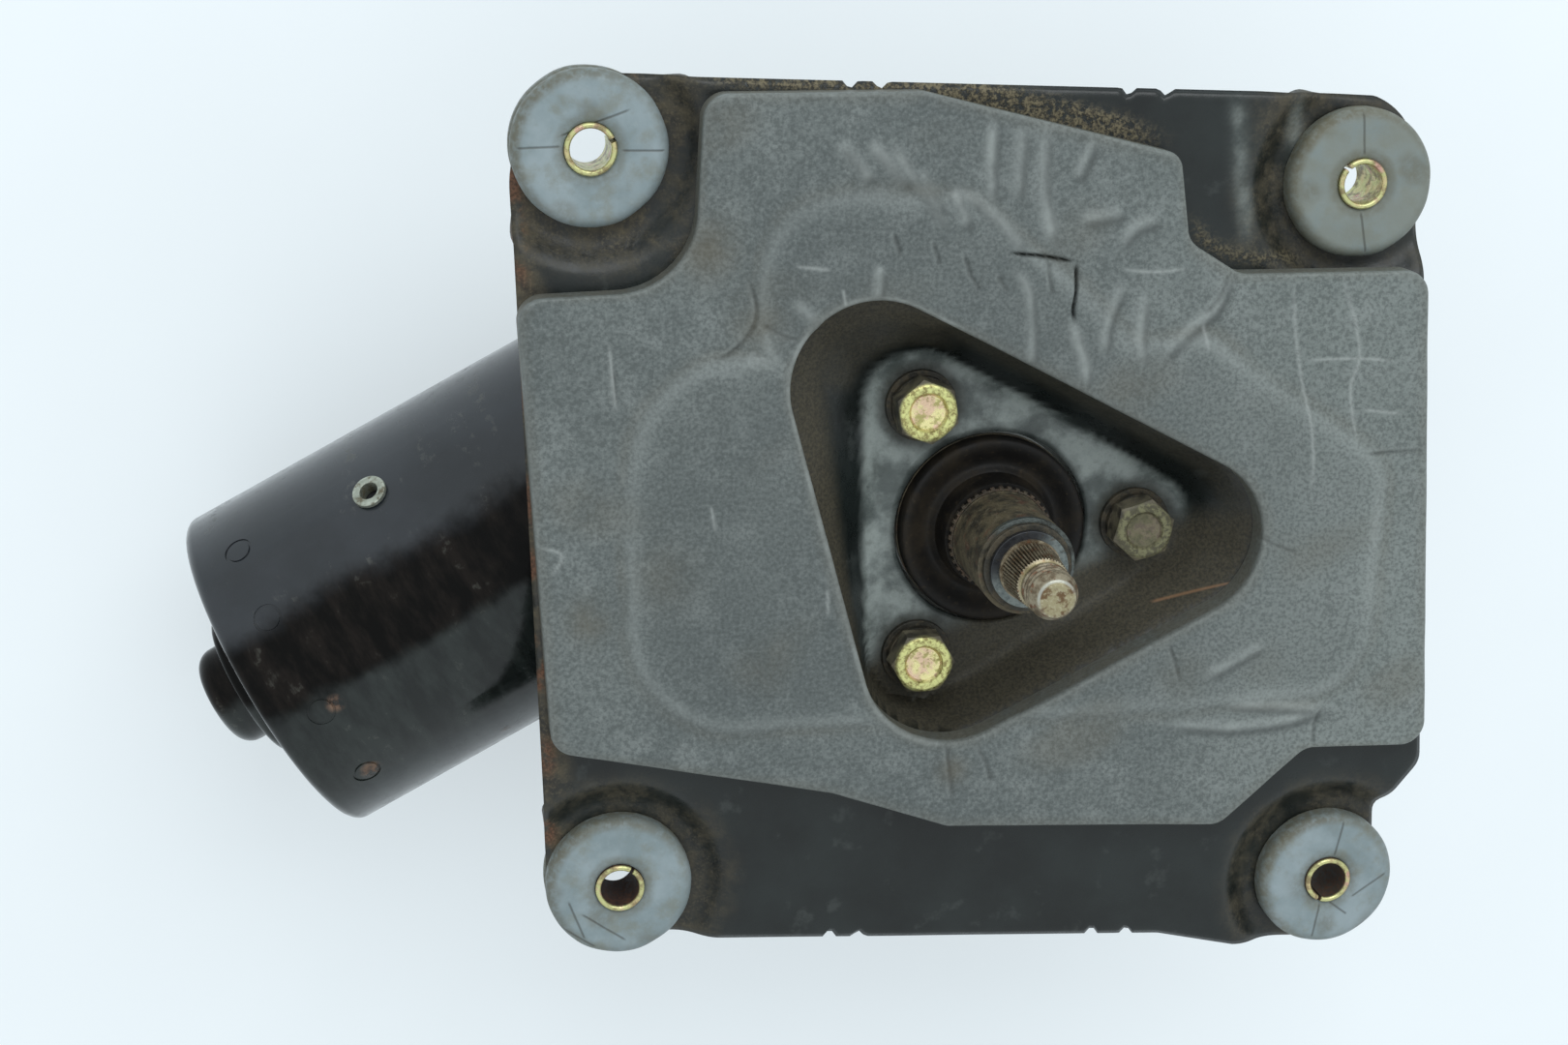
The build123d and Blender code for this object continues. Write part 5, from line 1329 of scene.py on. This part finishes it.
class WIPER_OT_stage(bpy.types.Operator):
    """Set the floor, the soft lamps and the camera"""
    bl_idname = "wiper.stage"
    bl_label = "Stage"

    def execute(self, context):
        scene, props = context.scene, context.scene.wiper_stage
        scene.view_settings.view_transform = "Standard"
        even_sky(scene, props)
        across = np.linspace(-FLOOR_HALF, FLOOR_HALF, 9)
        x, y = np.meshgrid(across, across)
        floor = surface("floor", np.stack([x, y, np.full(x.shape, LOWEST)], axis=-1), wrap_u=False)
        floor.data.materials.append(paper(props))
        lamp("window_light", (120, 900, 900), (0, 0, -20), (1100, 800), props.key_strength, (0.95, 0.98, 1.0))
        data = bpy.data.cameras.new("camera")
        data.lens = 54.02
        data.sensor_width = 36.0
        data.clip_start = 0.01
        camera = bpy.data.objects.new("camera", data)
        scene.collection.objects.link(camera)
        right, down, ahead = (Vector(axis) for axis in CAMERA_AXES)
        axes = Matrix((right, -down, -ahead)).transposed().to_4x4()
        camera.matrix_world = Matrix.Translation(Vector(CAMERA_SPOT) * MM) @ axes
        scene.camera = camera
        return {"FINISHED"}


def even_sky(scene, props):
    """World that lights evenly and shows the floor's colour behind everything."""
    scene.world = bpy.data.worlds.new("even_sky")
    scene.world.use_nodes = True
    tree = scene.world.node_tree
    sky = tree.nodes["Background"]
    sky.inputs["Color"].default_value = (0.93, 0.97, 1.0, 1.0)
    sky.inputs["Strength"].default_value = props.sky_strength
    plain = [("Color", tuple(props.floor_colour)), ("Strength", 1.0)]
    backdrop = add_node(tree, "ShaderNodeBackground", plain)
    links = [(0, plain_rays(tree)), (1, sky.outputs[0]), (2, backdrop.outputs[0])]
    blend = add_node(tree, "ShaderNodeMixShader", links)
    tree.links.new(blend.outputs[0], tree.nodes["World Output"].inputs[0])


def paper(props):
    """Finish of the floor: lit paper that partly shows its plain colour."""
    colour = tuple(props.floor_colour)
    f = Finish("paper", colour, 0.9)
    tint = tuple(c * 0.97 for c in colour[:3]) + (1.0,)
    f.link(Base_Color=f.blend(f.noise(60, 3, 0.5), 0.3, 0.7, colour, tint))
    glow = f.add("ShaderNodeEmission", [(0, colour), (1, 1.0)])
    share = f.times(plain_rays(f.tree), props.floor_share)
    lit = f.add("ShaderNodeMixShader", [(0, share), (1, f.shader.outputs[0]), (2, glow.outputs[0])])
    f.tree.links.new(lit.outputs[0], f.tree.nodes["Material Output"].inputs[0])
    return f.material


def plain_rays(tree):
    """1 for the rays that see the backdrop: from the camera, off gloss or through glass."""
    path = add_node(tree, "ShaderNodeLightPath").outputs
    total = path["Is Camera Ray"]
    for key in ("Is Glossy Ray", "Is Transmission Ray"):
        total = add_node(tree, "ShaderNodeMath", [(0, total), (1, path[key])], operation="MAXIMUM").outputs[0]
    return total


def lamp(name, spot, target, size, strength, colour):
    """Rectangular lamp at a spot facing a target; strength is its radiance."""
    data = bpy.data.lights.new(name, "AREA")
    data.shape = "RECTANGLE"
    data.size, data.size_y = size[0] * MM, size[1] * MM
    data.energy = strength * np.pi * data.size * data.size_y
    data.color = colour
    obj = bpy.data.objects.new(name, data)
    bpy.context.scene.collection.objects.link(obj)
    aim = (Vector(target) - Vector(spot)).to_track_quat("-Z", "Y")
    obj.matrix_world = Matrix.Translation(Vector(spot) * MM) @ aim.to_matrix().to_4x4()


OPERATORS = (
    WIPER_OT_finishes, WIPER_OT_plate, WIPER_OT_pad, WIPER_OT_grommets, WIPER_OT_bolts,
    WIPER_OT_shaft, WIPER_OT_castings, WIPER_OT_springs, WIPER_OT_stage,
)


class WIPER_PT_panel(bpy.types.Panel):
    """Lists the pieces and their settings"""
    bl_idname = "WIPER_PT_panel"
    bl_label = "Wiper motor"
    bl_space_type = "VIEW_3D"
    bl_region_type = "UI"
    bl_category = "Wiper motor"

    def draw(self, context):
        for operator in OPERATORS:
            self.layout.operator(operator.bl_idname)
        for name in SETTINGS:
            box, group = self.layout.box(), getattr(context.scene, name)
            for key in group.bl_rna.properties.keys():
                if key not in ("rna_type", "name"):
                    box.prop(group, key)


SETTINGS = {"wiper_pad": PadSettings, "wiper_shaft": ShaftSettings, "wiper_stage": StageSettings}
CLASSES = tuple(SETTINGS.values()) + OPERATORS + (WIPER_PT_panel,)


def register():
    for cls in CLASSES:
        bpy.utils.register_class(cls)
    for name, group in SETTINGS.items():
        setattr(bpy.types.Scene, name, PointerProperty(type=group))


def unregister():
    for name in SETTINGS:
        delattr(bpy.types.Scene, name)
    for cls in reversed(CLASSES):
        bpy.utils.unregister_class(cls)


def main():
    register()
    for operator in OPERATORS:
        group, name = operator.bl_idname.split(".")
        getattr(getattr(bpy.ops, group), name)()


if __name__ == "__main__":
    main()
